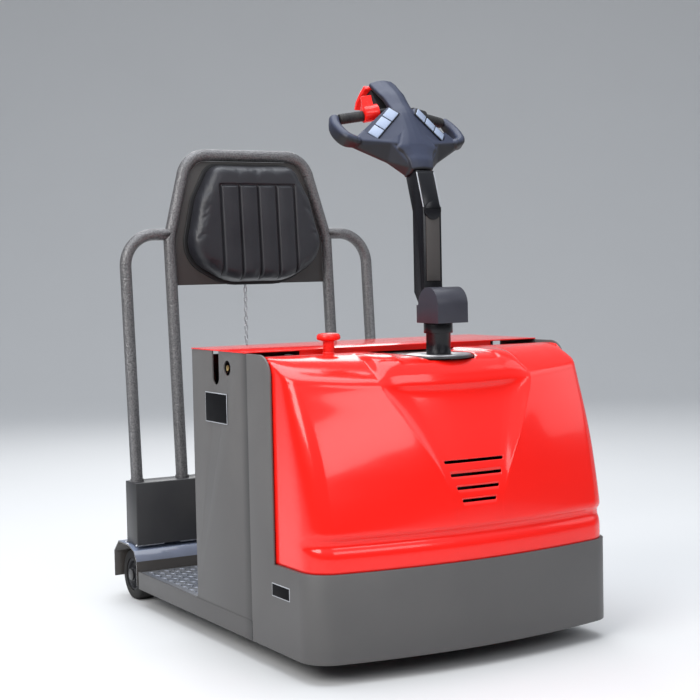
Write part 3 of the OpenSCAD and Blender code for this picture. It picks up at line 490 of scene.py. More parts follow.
def spline(points, t):
    # smooth curve through all points; t counts from 0 to len - 1
    last = len(points) - 1
    i = min(int(t), last - 1)
    f = t - i
    a, b, c, d = (points[max(0, min(last, i + n))] for n in (-1, 0, 1, 2))
    bend = (a * 2 - b * 5 + c * 4 - d) * (.5 * f * f)
    return b + (c - a) * (.5 * f) + bend + (b * 3 - a - c * 3 + d) * (.5 * f ** 3)


# CAD solids with rounded edges

slotOf = {s["node"]: s["material_slot"] for s in frame["record"]["subparts"]}
# radius of the small rounds on the sharp edges of each solid
softEdges = {
    "front_skirt": 1.2, "side_wall_left": 1, "side_wall_right": 1, "deck_plate": .8,
    "bulkhead": 1, "floor_pan": 0, "drive_bridge": 1.5, "battery_block": 4, "control_deck": .6,
    "stop_knob": 0, "key_switch": .6, "column_plate": .8, "rear_fender": .8, "pedestal": 2.5,
    "backrest_frame": 0, "armrest_left": 0, "armrest_right": 0, "back_plate": .8, "tow_jaw": 1.5,
    "tow_pin": .8, "tow_chain": 0, "axle_left": 1, "axle_right": 1, "lid_hinge": .6,
    "rear_tyre_left": 0, "rear_tyre_right": 0, "rear_hub_left": .8, "rear_hub_right": .8,
    "drive_tyre": 0, "drive_hub": .8, "steering_column": 1, "drive_case": 1.5, "drive_motor": 4,
    "tiller_cover": 2.5, "tiller_arm": 3, "arm_cover": .8, "throttles": 3, "belly_plate": 1.5,
    "head_buttons": 1.2, "battery_lid": .8,
}


def softened(node, edge):
    # a copy of a CAD solid with merged points, smooth rounds and small rounds on its sharp edges
    bm = bmesh.new()
    bm.from_mesh(nodes[node].data)
    bmesh.ops.remove_doubles(bm, verts=bm.verts, dist=2e-6)
    bmesh.ops.dissolve_limit(bm, angle_limit=radians(.6), verts=bm.verts, edges=bm.edges)
    if edge:
        rounded(bm, sharpEdges(bm), edge * mm)
    dress(meshObject(node + "_soft", bm, clean=False), slotOf[node], bodyOfNode(node), node, own=node)


for node, edge in softEdges.items():
    softened(node, edge)
print("stage: CAD solids softened")


# Hood

hoodSize = {
    "half": 402.5, "foot": 241.3, "edge": 396, "edgeBow": 18, "lean": 60, "back": 284, "rear": 700,
    "sideGap": 3, "front": 4, "bow": 50, "bowTop": 97, "corner": 62, "cornerTop": 30, "sideEnd": 244,
    "valley": 26, "wall": 4,
    # rows below this share of the height are level; mesh steps between two control points
    "levelShare": .23, "fine": 4,
}
# width of the back edge, how fast the crown rises beside and in the valley, how far the valley's dent
# reaches, moves back and sinks, and the shallow level recess round the steel plate of the column
crownSet = {
    "narrow": .88, "rise": 2.4, "valleyRise": 8, "dent": 1.5, "dentBack": .4, "dentDown": .15,
    "dish": 5, "dishTo": .7, "dishEdge": .06, "dishFade": 5,
}
# share of the height, share of the lean, inset of the groove, half width and depth share of the valley
faceRows = [
    (0, 0, 0, 62, 0), (.078, 0, 0, 62, 0), (.116, 0, 3, 62, 0), (.141, 0, 8, 62, 0), (.171, 0, 8, 62, 0),
    (.197, 0, 1, 62, 0), (.227, 0, 0, 62, 0), (.33, .05, 0, 62, 0), (.43, .13, 0, 82, .08),
    (.54, .24, 0, 102, .28), (.66, .4, 0, 131, .55), (.78, .6, 0, 160, .78), (.88, .79, 0, 184, .86),
    (.94, .9, 0, 197, .78), (.97, .96, 0, 202, .6),
]
edgeRow = (1, 1, 0, 206, 1)
roundSteps = (.25, .5, .75)
crownSteps = (.05, .12, .22, .34, .48, .64, .82, 1)
valleyCols = (.15, .4, .62, .69, .78, .87, .94, 1)
flankCols = (.05, .35, .68, 1)
cornerCols = (.2, .4, .6, .8, 1)
sideCols = (.35, .7, 1)
hoodCols = valleyCols + flankCols + cornerCols + sideCols
valleyEnd = len(valleyCols)
flankEnd = valleyEnd + len(flankCols)
cornerEnd = flankEnd + len(cornerCols)


def valleyShape(q):
    # level in the middle, steep at its outer edge
    return max(0, 1 - q ** 6)


def hoodColumn(k, row):
    # where a column crosses a row, its share of the valley, and how far it lies along the side
    s = hoodSize
    leaned, inset, valleyHalf = row[1:4]
    front = s["front"] + s["lean"] * leaned + inset
    radius = s["corner"] + (s["cornerTop"] - s["corner"]) * leaned
    bow = s["bow"] + (s["bowTop"] - s["bow"]) * leaned ** .7
    flat = s["half"] - radius
    yFlat = front + bow * (flat / s["half"]) ** 2
    yCtrl = yFlat + 2 * bow * flat / s["half"] ** 2 * radius
    ySide = yCtrl + radius
    q = hoodCols[k]
    if k < valleyEnd:
        x = q * valleyHalf
        return x, front + bow * (x / s["half"]) ** 2, valleyShape(q), 0
    if k < flankEnd:
        x = valleyHalf + (flat - valleyHalf) * q
        return x, front + bow * (x / s["half"]) ** 2, 0, 0
    if k < cornerEnd:
        x = flat * (1 - q) ** 2 + 2 * s["half"] * q * (1 - q) + s["half"] * q * q
        y = yFlat * (1 - q) ** 2 + 2 * yCtrl * q * (1 - q) + ySide * q * q
    else:
        x, y = s["half"], ySide + (s["sideEnd"] - ySide) * q
    return x, y, 0, (y - yFlat) / (s["sideEnd"] - yFlat)


def edgeHeight(x, side):
    # the front edge rises towards the corners, and along the side up to the rear
    s = hoodSize
    corner = s["foot"] + s["edge"] + s["edgeBow"]
    bow = s["edgeBow"] * (1 - (x / s["half"]) ** 2)
    return corner - bow + (s["rear"] - s["sideGap"] - corner) * side ** 1.5


def facePoint(k, row):
    s = hoodSize
    x, y, valley = hoodColumn(k, row)[:3]
    xEdge, _, _, side = hoodColumn(k, edgeRow)
    up, level = row[0], s["levelShare"]
    z = s["foot"] + min(up, level) * s["edge"]
    if up > level:
        z += (up - level) / (1 - level) * (edgeHeight(xEdge, side) - z)
    return Vector((x, y + s["valley"] * row[4] * valley, z))


def crownPoint(k, t):
    s, c = hoodSize, crownSet
    x, y, valley, side = hoodColumn(k, edgeRow)
    xBack = x * c["narrow"]
    if k >= flankEnd:
        flat = hoodColumn(flankEnd - 1, edgeRow)[0] * c["narrow"]
        xBack = flat + (s["half"] - flat) * (k - flankEnd + 1) / (len(hoodCols) - flankEnd)
    z = edgeHeight(x, side)
    rise = 1 - (1 - t) ** (c["rise"] + c["valleyRise"] * valley)
    dent = s["valley"] * valley * max(0, 1 - t * c["dent"]) ** 1.5
    inner = hoodCols[k] if k < valleyEnd else 1
    dish = c["dish"] * share((c["dishTo"] - inner) / c["dishEdge"]) * share(t * c["dishFade"])
    yFront = y + dent * c["dentBack"]
    return Vector((x + (xBack - x) * t, yFront + (s["back"] - yFront) * t,
                   z + (s["rear"] - z) * rise - dent * c["dentDown"] - dish))


def roundPoint(k, t):
    # quadratic curve over the front edge
    a, b, c = facePoint(k, faceRows[-1]), crownPoint(k, 0), crownPoint(k, crownSteps[0])
    return a * (1 - t) ** 2 + b * 2 * t * (1 - t) + c * t * t


def hoodControls():
    # rows of control points from the foot to the back edge, mirrored to the other side
    rows = []
    for point, steps in ((facePoint, faceRows), (roundPoint, roundSteps), (crownPoint, crownSteps)):
        for step in steps:
            half = [point(k, step) for k in range(len(hoodCols))]
            rows.append([Vector((-p.x, p.y, p.z)) for p in reversed(half)] + half)
    return rows


def makeHood():
    controls = hoodControls()
    fine = hoodSize["fine"]
    rows, cols = len(controls), len(controls[0])
    along, across = (rows - 1) * fine, (cols - 1) * fine
    bm = bmesh.new()
    bmesh.ops.create_grid(bm, x_segments=across, y_segments=along, size=1)
    columns = {}
    for v in bm.verts:
        u = round((v.co.x + 1) / 2 * across)
        w = (v.co.y + 1) / 2 * (rows - 1)
        if u not in columns:
            columns[u] = [spline(row, u / fine) for row in controls]
        v.co = at(*spline(columns[u], w))
    obj = meshObject("hoodShell", bm, 60)
    wall = obj.modifiers.new("wall", "SOLIDIFY")
    wall.thickness = hoodSize["wall"] * mm
    wall.offset = -1
    cutWith(obj, makeHoodCutter(), True)
    dress(obj, "hood_gloss", "chassis", "hood")


# height above the foot and half width of each slot
ventSlots = {"rows": ((216, 80), (187, 69), (158, 57), (130, 46)), "height": 7, "round": 3.2, "y": (-20, 70)}
# round recess on a level, open to the back, with the hole of the column below it
columnCut = {"radius": 83, "y": 165, "level": 683, "hole": 33.5, "below": 60, "above": 60, "back": 160}


def makeHoodCutter():
    bm = bmesh.new()
    v = ventSlots
    for rise, half in v["rows"]:
        z = hoodSize["foot"] + rise
        block(bm, at(-half, v["y"][0], z), at(half, v["y"][1], z + v["height"]), v["round"] * mm, 3)
    c = columnCut
    top = c["level"] + c["above"]
    for radius, low in ((c["radius"], c["level"]), (c["hole"], c["level"] - c["below"])):
        disc(bm, radius, top - low, 72, Matrix.Translation(at(0, c["y"], (low + top) / 2)))
    half = c["radius"] * .999   # no face of the block lies in a face of the disc
    block(bm, at(-half, c["y"], c["level"] + .1), at(half, c["y"] + c["back"], top - 1))
    return meshObject("hoodCutter", bm, clean=False)


makeHood()
print("stage: hood")


# Small pieces on the body

# where the lozenges lie, their pitch and half sizes
deckSet = {"x": 378, "from": 656, "to": 1012, "top": 88, "pitch": 22.5, "long": 9, "wide": 2.6, "high": 1.7}


def makeLozenges():
    # raised lozenges of the chequer plate, turned in turn to the left and to the right
    d = deckSet
    one = bmesh.new()
    bmesh.ops.create_uvsphere(one, u_segments=8, v_segments=6, radius=1)
    shape = bpy.data.meshes.new("lozenge")
    one.to_mesh(shape)
    one.free()
    bm = bmesh.new()
    across = round(2 * d["x"] / d["pitch"])
    along = round((d["to"] - d["from"]) / d["pitch"])
    for i in range(across + 1):
        for j in range(along + 1):
            x = -d["x"] + 2 * d["x"] * i / across
            y = d["from"] + (d["to"] - d["from"]) * j / along
            turn = Matrix.Rotation(radians(45 if (i + j) % 2 else -45), 4, "Z")
            size = Matrix.Diagonal((d["long"] * mm, d["wide"] * mm, d["high"] * mm, 1))
            old = len(bm.verts)
            bm.from_mesh(shape)
            bm.verts.ensure_lookup_table()
            place = Matrix.Translation(at(x, y, d["top"])) @ turn @ size
            bmesh.ops.transform(bm, matrix=place, verts=bm.verts[old:])
    bpy.data.meshes.remove(shape)
    dress(meshObject("deckLozenges", bm, 60, clean=False), "chequer_plate", "chassis", own="lozenge")


plateSet = {
    # distances from the middle: both backs, the front of the rim and of the face within it
    "back": 409.5, "rimFront": 410.5, "faceFront": 410.8, "rim": 2, "round": .3,
    # low and high place along the side wall, low and high edge
    "places": {"nameplate": ((443, 562), (535, 607)), "footLabel": ((148, 232), (170, 200))},
    "lock": {"place": (-406.5, 440, 668), "radius": 6.5, "deep": 4, "round": .6},
}


def makePlates():
    # blank plates with a light rim on the left side
    p = plateSet
    layers = (
        ("Rim", p["rimFront"], 0, "bright_steel", "edging"),
        ("Face", p["faceFront"], p["rim"], "dark_plastic", "plateFace"),
    )
    for name, ((y0, y1), (z0, z1)) in p["places"].items():
        for part, front, inset, slotName, own in layers:
            low, high = at(-front, y0 + inset, z0 + inset), at(-p["back"], y1 - inset, z1 - inset)
            bm = bmesh.new()
            block(bm, low, high, p["round"] * mm)
            dress(meshObject(name + part, bm), slotName, "chassis", own=own)


def makeLock():
    # brass lock barrel in the left side wall
    lock = plateSet["lock"]
    place = Matrix.Translation(at(*lock["place"])) @ Matrix.Rotation(pi / 2, 4, "Y")
    bm = bmesh.new()
    disc(bm, lock["radius"], lock["deep"], 32, place)
    rounded(bm, sharpEdges(bm), lock["round"] * mm, 2, False)
    dress(meshObject("lockBarrel", bm), "bright_steel", "chassis", own="lock")


armSet = {
    "front": 182, "kink": 1030, "lean": 18, "upper": 92,
    # low and high corners from the kink; the second height counts from the end of the upper part
    "inset": ((-21, -2.2, 4), (21, 3, -6)), "insetRound": 1.2,
    "line": ((22.2, -1.2, 2), (24.6, 2, -4)), "lineRound": .3,
    "lip": {"radius": 21.5, "half": 21.4, "front": -6, "back": 1, "drop": 6, "top": 2, "round": 1},
}


def armBlock(bm, low, high, side, edge, segments):
    # a block on the sloping upper part of the arm, on the side given as 1 or -1
    x0, x1 = sorted((side * low[0], side * high[0]))
    top = armSet["upper"] + high[2]
    block(bm, Vector((x0, low[1], low[2])) * mm, Vector((x1, high[1], top)) * mm, edge * mm, segments)


def makeArmTrim():
    # glossy inset with light edge lines above the kink, and the round lip that hangs below it
    a = armSet
    tilt = Matrix.Translation(at(0, a["front"], a["kink"])) @ Matrix.Rotation(radians(-a["lean"]), 4, "X")
    bm = bmesh.new()
    armBlock(bm, *a["inset"], 1, a["insetRound"], 3)
    bmesh.ops.transform(bm, matrix=tilt, verts=bm.verts)
    dress(meshObject("armInset", bm), "gloss_black", "tiller")
    bm = bmesh.new()
    for side in (-1, 1):
        armBlock(bm, *a["line"], side, a["lineRound"], 2)
    bmesh.ops.transform(bm, matrix=tilt, verts=bm.verts)
    dress(meshObject("armEdgeLines", bm), "bright_steel", "tiller", own="edging")
    lip = a["lip"]
    front, back, z = a["front"] + lip["front"], a["front"] + lip["back"], a["kink"] - lip["drop"]
    bm = bmesh.new()
    disc(bm, lip["radius"], back - front, 56,
         Matrix.Translation(at(0, (front + back) / 2, z)) @ Matrix.Rotation(pi / 2, 4, "X"))
    block(bm, at(-lip["half"], front, z), at(lip["half"], back, a["kink"] + lip["top"]))
    rounded(bm, sharpEdges(bm), lip["round"] * mm)
    dress(meshObject("armLip", bm, clean=False), "gloss_black", "tiller")


weldSet = {
    "y": 1053, "deep": 74, "z": 157.5, "step": 4.2, "radius": 4.6, "vary": .9, "out": .8,
    "shape": (1.1, 1, .8),
    # places along the beam's foot where it is welded to the fender
    "runs": ((-400, -322), (-270, -205), (-60, 40), (205, 270), (322, 400)),
}


def makeWelds():
    # beads of overlapping ripples along the foot of the beam, front and back
    w = weldSet
    squash = Matrix.Diagonal((*w["shape"], 1))
    bm = bmesh.new()
    for y, side in ((w["y"], -1), (w["y"] + w["deep"], 1)):
        for low, high in w["runs"]:
            for i in range(int((high - low) / w["step"]) + 1):
                x = low + i * w["step"]
                radius = w["radius"] + w["vary"] * noise.noise(Vector((x * .11, y, side)))
                place = Matrix.Translation(at(x, y + side * w["out"], w["z"])) @ squash
                bmesh.ops.create_icosphere(bm, subdivisions=1, radius=radius * mm, matrix=place)
    dress(meshObject("weldBeads", bm, 75, clean=False), "steel_paint", "chassis", own="weld")


def darkenRightThrottle():
    # the right-hand drum is black like the grips
    soft = bpy.data.objects["throttles_soft"].data
    soft.materials.append(finishes["grip_rubber"].material)
    for face in soft.polygons:
        if face.center.x > 0:
            face.material_index = 1


makeLozenges()
makePlates()
makeLock()
makeArmTrim()
makeWelds()
darkenRightThrottle()
print("stage: small pieces on the body")


# Tiller head

headSet = {
    "origin": (0, 231.8, 1110.5), "lean": 38, "armLean": 18, "voxel": 1.6, "smooth": 3, "round": 6, "fine": 3,
    "footGap": .3,
    # height, half width, front and back of the ball centres, crown
    "spine": (
        (4, 24, -16, 16, 4), (19, 27, -22, 10, 4), (32, 31, -24, 4, 4), (46, 38, -27, 2, 4),
        (55, 47, -29, 2, 4), (64, 40, -31, 8, 4), (100, 25, -36, 8, 4), (147, 22, -40, -6, 5),
        (180, 23, -35, -27, 7), (209, 25, -31, -27, 9), (225, 28, -27, -24, 10), (242, 29, -21, -19, 11),
        (273, 31, -11, -10, 10),
    ),
    # ball centres of the wings
    "wingTop": (
        (36, -37, 168), (107, -6, 109), (20, -41, 142), (93, -14, 90), (64, -26, 71), (50, -29, 66),
        (138, 3, 92), (138, -4, 97), (20, -30, 70), (20, 0, 66), (34, 8, 137), (107, 9, 99),
    ),
    "wingLow": ((26, -12, 12), (28, 12, 12), (62, -25, 69), (66, 7, 46), (30, 8, 60), (34, 8, 120)),
    "wingTip": ((62, -25, 69), (66, 7, 46), (138, 1, 92), (139, 8, 91), (34, 8, 120)),
    # ball centres of the finger loops with their radius and the depth of the front balls
    "loop": (
        (136, 2, 94, 11, -6), (156, 10, 105, 11.5, -6), (163, 18, 130, 12, 2), (163, 22, 157, 12, 10),
        (155, 17.9, 182, 12.5, 16.9),
    ),
    "grip": {
        "x": 60, "y": -5.4, "z": 181, "sweep": 13.8, "from": 25.3, "to": 85.3, "radius": 12.5,
        "end": 2, "endCorner": .6, "plain": 8, "grooves": 7, "grooveHalf": 1.4, "grooveDeep": .6,
    },
    "axle": {"x": 60, "y": -8, "z": 184, "from": -52, "to": -11.3, "radius": 7},
    # outline of the core in side view, its half width and the rounds of its edges
    "core": (
        (10, 105), (-12, 115), (-12, 158), (-4, 172), (-2, 267), (20, 270), (44, 268), (44, 176), (26, 140),
        (14, 108),
    ),
    "coreHalf": 33, "coreRound": 2,
    "panel": {"radius": 50, "middle": (47, -12), "deep": 30, "sink": .2},
    "bezel": {"low": (-1.5, -29.8, .1), "high": (91.5, .8, 3.4), "round": 1.2},
}
headTurn = Matrix.Rotation(radians(-headSet["lean"]), 3, "X")


def inHead(x, y, z):
    return at(*headSet["origin"]) + headTurn @ (Vector((x, y, z)) * mm)


def ballPoints(subdivisions):
    bm = bmesh.new()
    bmesh.ops.create_icosphere(bm, subdivisions=subdivisions, radius=1)
    points = [v.co.copy() for v in bm.verts]
    bm.free()
    return points


ball = ballPoints(3)


def hullOf(bm, balls):
    # convex skin round balls given as centre and radius in metres
    verts = [bm.verts.new(centre + point * radius) for centre, radius in balls for point in ball]
    hull = bmesh.ops.convex_hull(bm, input=verts)
    loose = {g for g in hull["geom_interior"] + hull["geom_unused"] if isinstance(g, bmesh.types.BMVert)}
    bmesh.ops.delete(bm, geom=list(loose), context="VERTS")


def remeshed(obj, voxel, smoothing):
    skin = obj.modifiers.new("skin", "REMESH")
    skin.mode = "VOXEL"
    skin.voxel_size = voxel * mm
    settled(obj)
    bm = bmesh.new()
    bm.from_mesh(obj.data)
    for step in range(smoothing):
        bmesh.ops.smooth_vert(bm, verts=bm.verts, factor=.5,
                              use_axis_x=True, use_axis_y=True, use_axis_z=True)
    bmesh.ops.recalc_face_normals(bm, faces=bm.faces)
    bm.to_mesh(obj.data)
    bm.free()
    smoothShaded(obj.data)
    return obj


def numbers(values):
    # a vector of any length, for the spline
    row = Vector.Fill(len(values), 0)
    row[:] = values
    return row


def splined(points, fine):
    # the smooth curve through rows of numbers, with so many steps between two of them
    rows = [numbers(p) for p in points]
    return [spline(rows, i / fine) for i in range((len(rows) - 1) * fine + 1)]


def panelPlace(side):
    # frame of the sloping button panel: X along the buttons, Z out of it
    a, b, c = (Vector(p) for p in headSet["wingTop"][:3])
    along = (b - a).normalized()
    out = -(b - a).cross(c - a).normalized()
    start = a + out * headSet["round"]
    turn = Matrix((along, out.cross(along), out)).transposed().to_4x4()
    mirror = Matrix.Diagonal((side, 1, 1, 1))
    inPanel = mirror @ Matrix.Translation(start * mm) @ turn
    return Matrix.Translation(at(*headSet["origin"])) @ headTurn.to_4x4() @ inPanel


def headSection(values):
    # balls round one level section of the spine
    up, half, front, back, crown = values
    inner, bulge = half * .55, front - crown * .75
    spots = ((-half, front), (half, front), (-inner, bulge), (inner, bulge), (0, front - crown),
             (-half, back), (half, back))
    return [(inHead(x, y, up), headSet["round"] * mm) for x, y in spots]


def loopSection(side, values):
    x, back, z, radius, front = values
    return [(inHead(side * x, y, z), radius * mm) for y in (back, front)]


def cutFoot(obj):
    # level seat just above the end of the arm
    bm = bmesh.new()
    bm.from_mesh(obj.data)
    up = Matrix.Rotation(radians(-headSet["armLean"]), 3, "X") @ Vector((0, 0, 1))
    foot = at(*headSet["origin"]) + up * headSet["footGap"] * mm
    cut = bmesh.ops.bisect_plane(bm, geom=list(bm.verts) + list(bm.edges) + list(bm.faces), plane_co=foot,
                                 plane_no=up, clear_inner=True)
    bmesh.ops.holes_fill(bm, edges=[g for g in cut["geom_cut"] if isinstance(g, bmesh.types.BMEdge)], sides=0)
    bm.to_mesh(obj.data)
    bm.free()


def cutPanels(obj):
    # round flats for the buttons of both wings
    p = headSet["panel"]
    bm = bmesh.new()
    for side in (-1, 1):
        middle = Vector((*p["middle"], p["deep"] / 2 - p["sink"])) * mm
        disc(bm, p["radius"], p["deep"], 96, panelPlace(side) @ Matrix.Translation(middle))
    bmesh.ops.recalc_face_normals(bm, faces=bm.faces)
    cutWith(obj, meshObject("panelCutter", bm, clean=False))


def makeHead():
    h = headSet
    bm = bmesh.new()
    sections = splined(h["spine"], h["fine"])
    for low, high in zip(sections, sections[1:]):
        hullOf(bm, headSection(low) + headSection(high))
    loop = splined(h["loop"], h["fine"])
    for side in (-1, 1):
        for part in ("wingTop", "wingLow", "wingTip"):
            hullOf(bm, [(inHead(side * x, y, z), h["round"] * mm) for x, y, z in h[part]])
        for low, high in zip(loop, loop[1:]):
            hullOf(bm, loopSection(side, low) + loopSection(side, high))
    obj = remeshed(meshObject("headShell", bm, clean=False), h["voxel"], h["smooth"])
    cutFoot(obj)
    cutPanels(obj)
    obj.data.set_sharp_from_angle(angle=radians(40))
    dress(obj, "head_plastic", "tiller", "head_shell")


def makeBezels():
    # black frame round the three buttons of each wing
    b = headSet["bezel"]
    for side in (-1, 1):
        bm = bmesh.new()
        block(bm, Vector(b["low"]) * mm, Vector(b["high"]) * mm, b["round"] * mm, 3)
        bmesh.ops.transform(bm, matrix=panelPlace(side), verts=bm.verts)
        bmesh.ops.recalc_face_normals(bm, faces=bm.faces)
        dress(meshObject("buttonBezel", bm), "dark_plastic", "tiller")


def makeHeadCore():
    # dark inner body behind the visor
    half = headSet["coreHalf"]
    bm = bmesh.new()
    verts = [bm.verts.new(inHead(-half, y, z)) for y, z in headSet["core"]]
    side = bmesh.ops.contextual_create(bm, geom=verts)["faces"]
    wide = bmesh.ops.extrude_face_region(bm, geom=side)
    moved = [g for g in wide["geom"] if isinstance(g, bmesh.types.BMVert)]
    bmesh.ops.translate(bm, vec=(2 * half * mm, 0, 0), verts=moved)
    rounded(bm, list(bm.edges), headSet["coreRound"] * mm)
    bmesh.ops.recalc_face_normals(bm, faces=bm.faces)
    dress(meshObject("headCore", bm), "dark_plastic", "tiller", "head_shell")


def spun(name, profile, start, axis, steps):
    # turns a profile of (along, radius) in mm about a line from start along axis
    axis = Vector(axis).normalized()
    side = axis.orthogonal().normalized()
    bm = bmesh.new()
    verts = [bm.verts.new(start + axis * (a * mm) + side * (r * mm)) for a, r in profile]
    edges = [bm.edges.new(pair) for pair in zip(verts, verts[1:])]
    bmesh.ops.spin(bm, geom=verts + edges, cent=start, axis=axis, angle=2 * pi, steps=steps, use_merge=True)
    return meshObject(name, bm, 35)


def gripLine(side):
    # direction of a grip and of its throttle's axle, swept back
    turn = radians(headSet["grip"]["sweep"])
    return headTurn @ Vector((side * cos(turn), sin(turn), 0))


def makeAxles():
    a = headSet["axle"]
    profile = [(a["from"], 0), (a["from"], a["radius"]), (a["to"], a["radius"]), (a["to"], 0)]
    for side in (-1, 1):
        axle = spun("throttleAxle", profile, inHead(side * a["x"], a["y"], a["z"]), gripLine(side), 32)
        dress(axle, "dark_plastic", "tiller", "head_shell")


def makeGrips():
    # rubber sleeves with grooves and rounded ends
    g = headSet["grip"]
    start, end, r = g["from"], g["to"], g["radius"]
    long, corner, half, floor = g["end"], g["endCorner"], g["grooveHalf"], r - g["grooveDeep"]
    profile = [(start, 0), (start, r - long), (start + corner, r - corner), (start + long, r)]
    for i in range(g["grooves"]):
        a = start + g["plain"] + (end - start - 2 * g["plain"]) * i / (g["grooves"] - 1)
        profile += [(a - half, r), (a - half / 2, floor), (a + half / 2, floor), (a + half, r)]
    profile += [(end - long, r), (end - corner, r - corner), (end, r - long), (end, 0)]
    for side in (-1, 1):
        obj = spun("headGrip", profile, inHead(side * g["x"], g["y"], g["z"]), gripLine(side), 48)
        dress(obj, "grip_rubber", "tiller", "head_grips")


makeHead()
makeHeadCore()
makeAxles()
makeBezels()
makeGrips()
print("stage: tiller head")


# Backrest pad

padSet = {
    "foot": (2, 1085, 327), "lean": 3.9, "behind": 2.1, "shell": 6, "front": 67, "ringSteps": 40,
    # outline circles: x, height, radius
    "outline": ((103, 824, 46), (109, 742, 80), (119, 646, 92), (60, 668, 140)),
    # inset from the outline, depth from the face and radius of the edge in front and at the back
    "frontEdge": (27, 27, 20), "backEdge": (10, 10, 8), "shellBack": (3, 3, 3), "shellFront": (2.6, 2, 2),
    "voxel": 5, "pressure": 4, "frames": 20, "cap": 6,
    "seams": (-115, -58, 0, 58, 115), "seamWidth": 3.6, "seamDeep": 8, "puff": 3,
    "seamTop": 804, "topWidth": 3.4, "topDeep": 5, "topEnd": 4, "topFade": 6,
    # band of the finer mesh along each seam, and how far behind the front face the seams fade out
    "fineBand": 13, "fineDeep": 18, "fadeFrom": 20, "fadeTo": 34,
}
padTurn = Matrix.Rotation(radians(-padSet["lean"]), 3, "X")


def inFrame(x, up, forward):
    # a place in the plane of the backrest frame
    return at(*padSet["foot"]) + padTurn @ (Vector((x, -forward, up)) * mm)


def padRing(inset, forward, radius):
    # ball centres along the outline
    balls = []
    steps = padSet["ringSteps"]
    for x, up, r in padSet["outline"]:
        for side in (-1, 1):
            for i in range(steps):
                a = 2 * pi * i / steps
                spot = inFrame(side * x + (r - inset) * cos(a), up + (r - inset) * sin(a), forward)
                balls.append((spot, radius * mm))
    return balls


def padHull(name, rings):
    bm = bmesh.new()
    hullOf(bm, rings)
    return meshObject(name, bm, clean=False)


def swollen(obj, pressure, frames, cap):
    # inflates a closed skin with the cloth solver, then limits how far each point has moved
    before = [v.co.copy() for v in obj.data.vertices]
    cloth = obj.modifiers.new("cloth", "CLOTH")
    cloth.settings.use_pressure = True
    cloth.settings.uniform_pressure_force = pressure
    cloth.settings.effector_weights.gravity = 0
    cloth.settings.quality = 5
    cloth.point_cache.frame_start = 1
    cloth.point_cache.frame_end = frames
    for step in range(1, frames + 1):
        bpy.context.scene.frame_set(step)
    settled(obj)
    bpy.context.scene.frame_set(1)
    for v, was in zip(obj.data.vertices, before):
        move = v.co - was
        if move.length > cap:
            v.co = was + move * (cap / move.length)


def bell(distance, width):
    return exp(-(distance / width) ** 2)


def seamRelief(x, up):
    # how far the front face swells between the seams or sinks into them
    p = padSet
    first, last = p["seams"][0], p["seams"][-1]
    width = p["seams"][1] - first
    groove = max(bell(x - s, p["seamWidth"]) for s in p["seams"])
    puff = sin(pi * (((x - first) / width) % 1)) ** .7 if first < x < last else 0
    below = share((p["seamTop"] - up) / p["topFade"] + .5)
    relief = (p["puff"] * puff - p["seamDeep"] * groove) * below
    across = bell(up - p["seamTop"], p["topWidth"]) if abs(x) < last + p["topEnd"] else 0
    return min(relief, -p["topDeep"] * across) if across > .2 else relief


def sewSeams(obj):
    # a finer mesh along the seams, then the relief of the front face
    p = padSet
    origin, back = at(*p["foot"]), padTurn.transposed()
    bm = bmesh.new()
    bm.from_mesh(obj.data)

    def local(v):
        q = back @ (v.co - origin) / mm
        return q.x, q.z, -q.y

    def near(v):
        x, up, forward = local(v)
        return forward > p["front"] - p["fineDeep"] and min(abs(x - s) for s in p["seams"]) < p["fineBand"]

    fine = [e for e in bm.edges if near(e.verts[0]) and near(e.verts[1])]
    bmesh.ops.subdivide_edges(bm, edges=fine, cuts=1, use_grid_fill=True)
    for v in bm.verts:
        x, up, forward = local(v)
        facing = share((forward - p["front"] + p["fadeTo"]) / (p["fadeTo"] - p["fadeFrom"]))
        v.co -= padTurn @ Vector((0, seamRelief(x, up) * facing * mm, 0))
    bm.to_mesh(obj.data)
    bm.free()
    smoothShaded(obj.data)


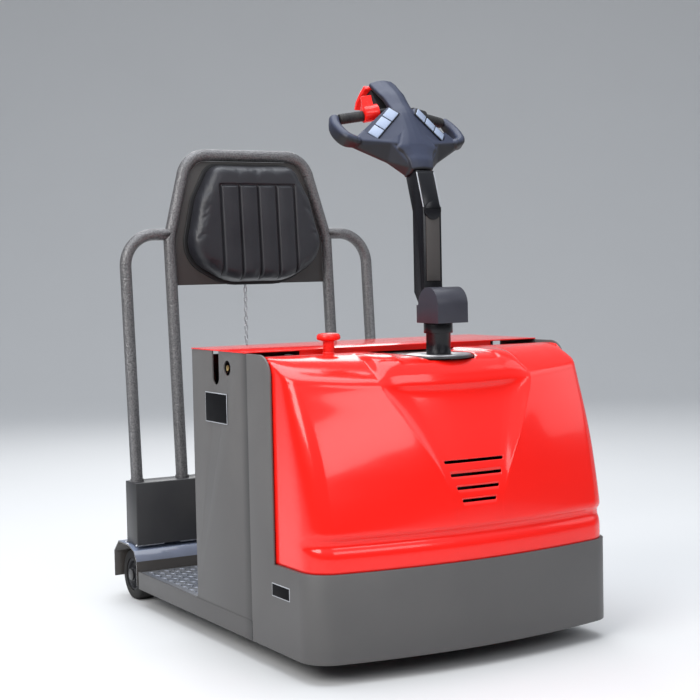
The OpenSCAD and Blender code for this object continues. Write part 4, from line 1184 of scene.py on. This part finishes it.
def makePad():
    p = padSet
    shellTop = p["behind"] + p["shell"]
    inset, deep, radius = p["frontEdge"]
    balls = padRing(inset, p["front"] - deep, radius)
    inset, deep, radius = p["backEdge"]
    obj = padHull("padCushion", balls + padRing(inset, shellTop + deep, radius))
    remeshed(obj, p["voxel"], 0)
    swollen(obj, p["pressure"], p["frames"], p["cap"] * mm)
    soft = obj.modifiers.new("soft", "SUBSURF")
    soft.levels = soft.render_levels = 1
    settled(obj)
    sewSeams(obj)
    dress(obj, "pad_vinyl", "chassis", "back_pad")


def makePadShell():
    p = padSet
    inset, deep, radius = p["shellBack"]
    balls = padRing(inset, p["behind"] + deep, radius)
    inset, deep, radius = p["shellFront"]
    shell = padHull("padShell", balls + padRing(inset, p["behind"] + p["shell"] - deep, radius))
    dress(shell, "dark_plastic", "chassis")


makePad()
makePadShell()
print("stage: pad")


# Floor

floorSet = {"near": -9, "bend": 6, "radius": 5, "top": 16, "half": 16, "light": .62, "dark": .585}


def makeFloor():
    # one sheet: level under the tractor, then curving up far behind it
    s = floorSet
    start, r = s["bend"], s["radius"]
    curve = [(start + r * sin(radians(a)), r - r * cos(radians(a))) for a in range(6, 91, 6)]
    path = [(s["near"], 0), (start, 0)] + curve + [(start + r, s["top"])]
    turn = Matrix.Rotation(radians(-cameraSet["yaw"]), 3, "Z")
    bm = bmesh.new()
    line = [bm.verts.new(turn @ Vector((-s["half"], y, z))) for y, z in path]
    edges = [bm.edges.new(pair) for pair in zip(line, line[1:])]
    wide = bmesh.ops.extrude_edge_only(bm, edges=edges)
    moved = [g for g in wide["geom"] if isinstance(g, bmesh.types.BMVert)]
    bmesh.ops.translate(bm, vec=turn @ Vector((2 * s["half"], 0, 0)), verts=moved)
    floor = meshObject("floor", bm, 80)
    light, dark = (s["light"],) * 3, (s["dark"],) * 3
    f = Finish("floorPaint", light, rough=.6)
    f.set("Base Color", f.mix((f.noise(1.2, 5) * .6).clamped(), (*light, 1), (*dark, 1)))
    floor.data.materials.append(f.material)


makeFloor()

print("stage: done")
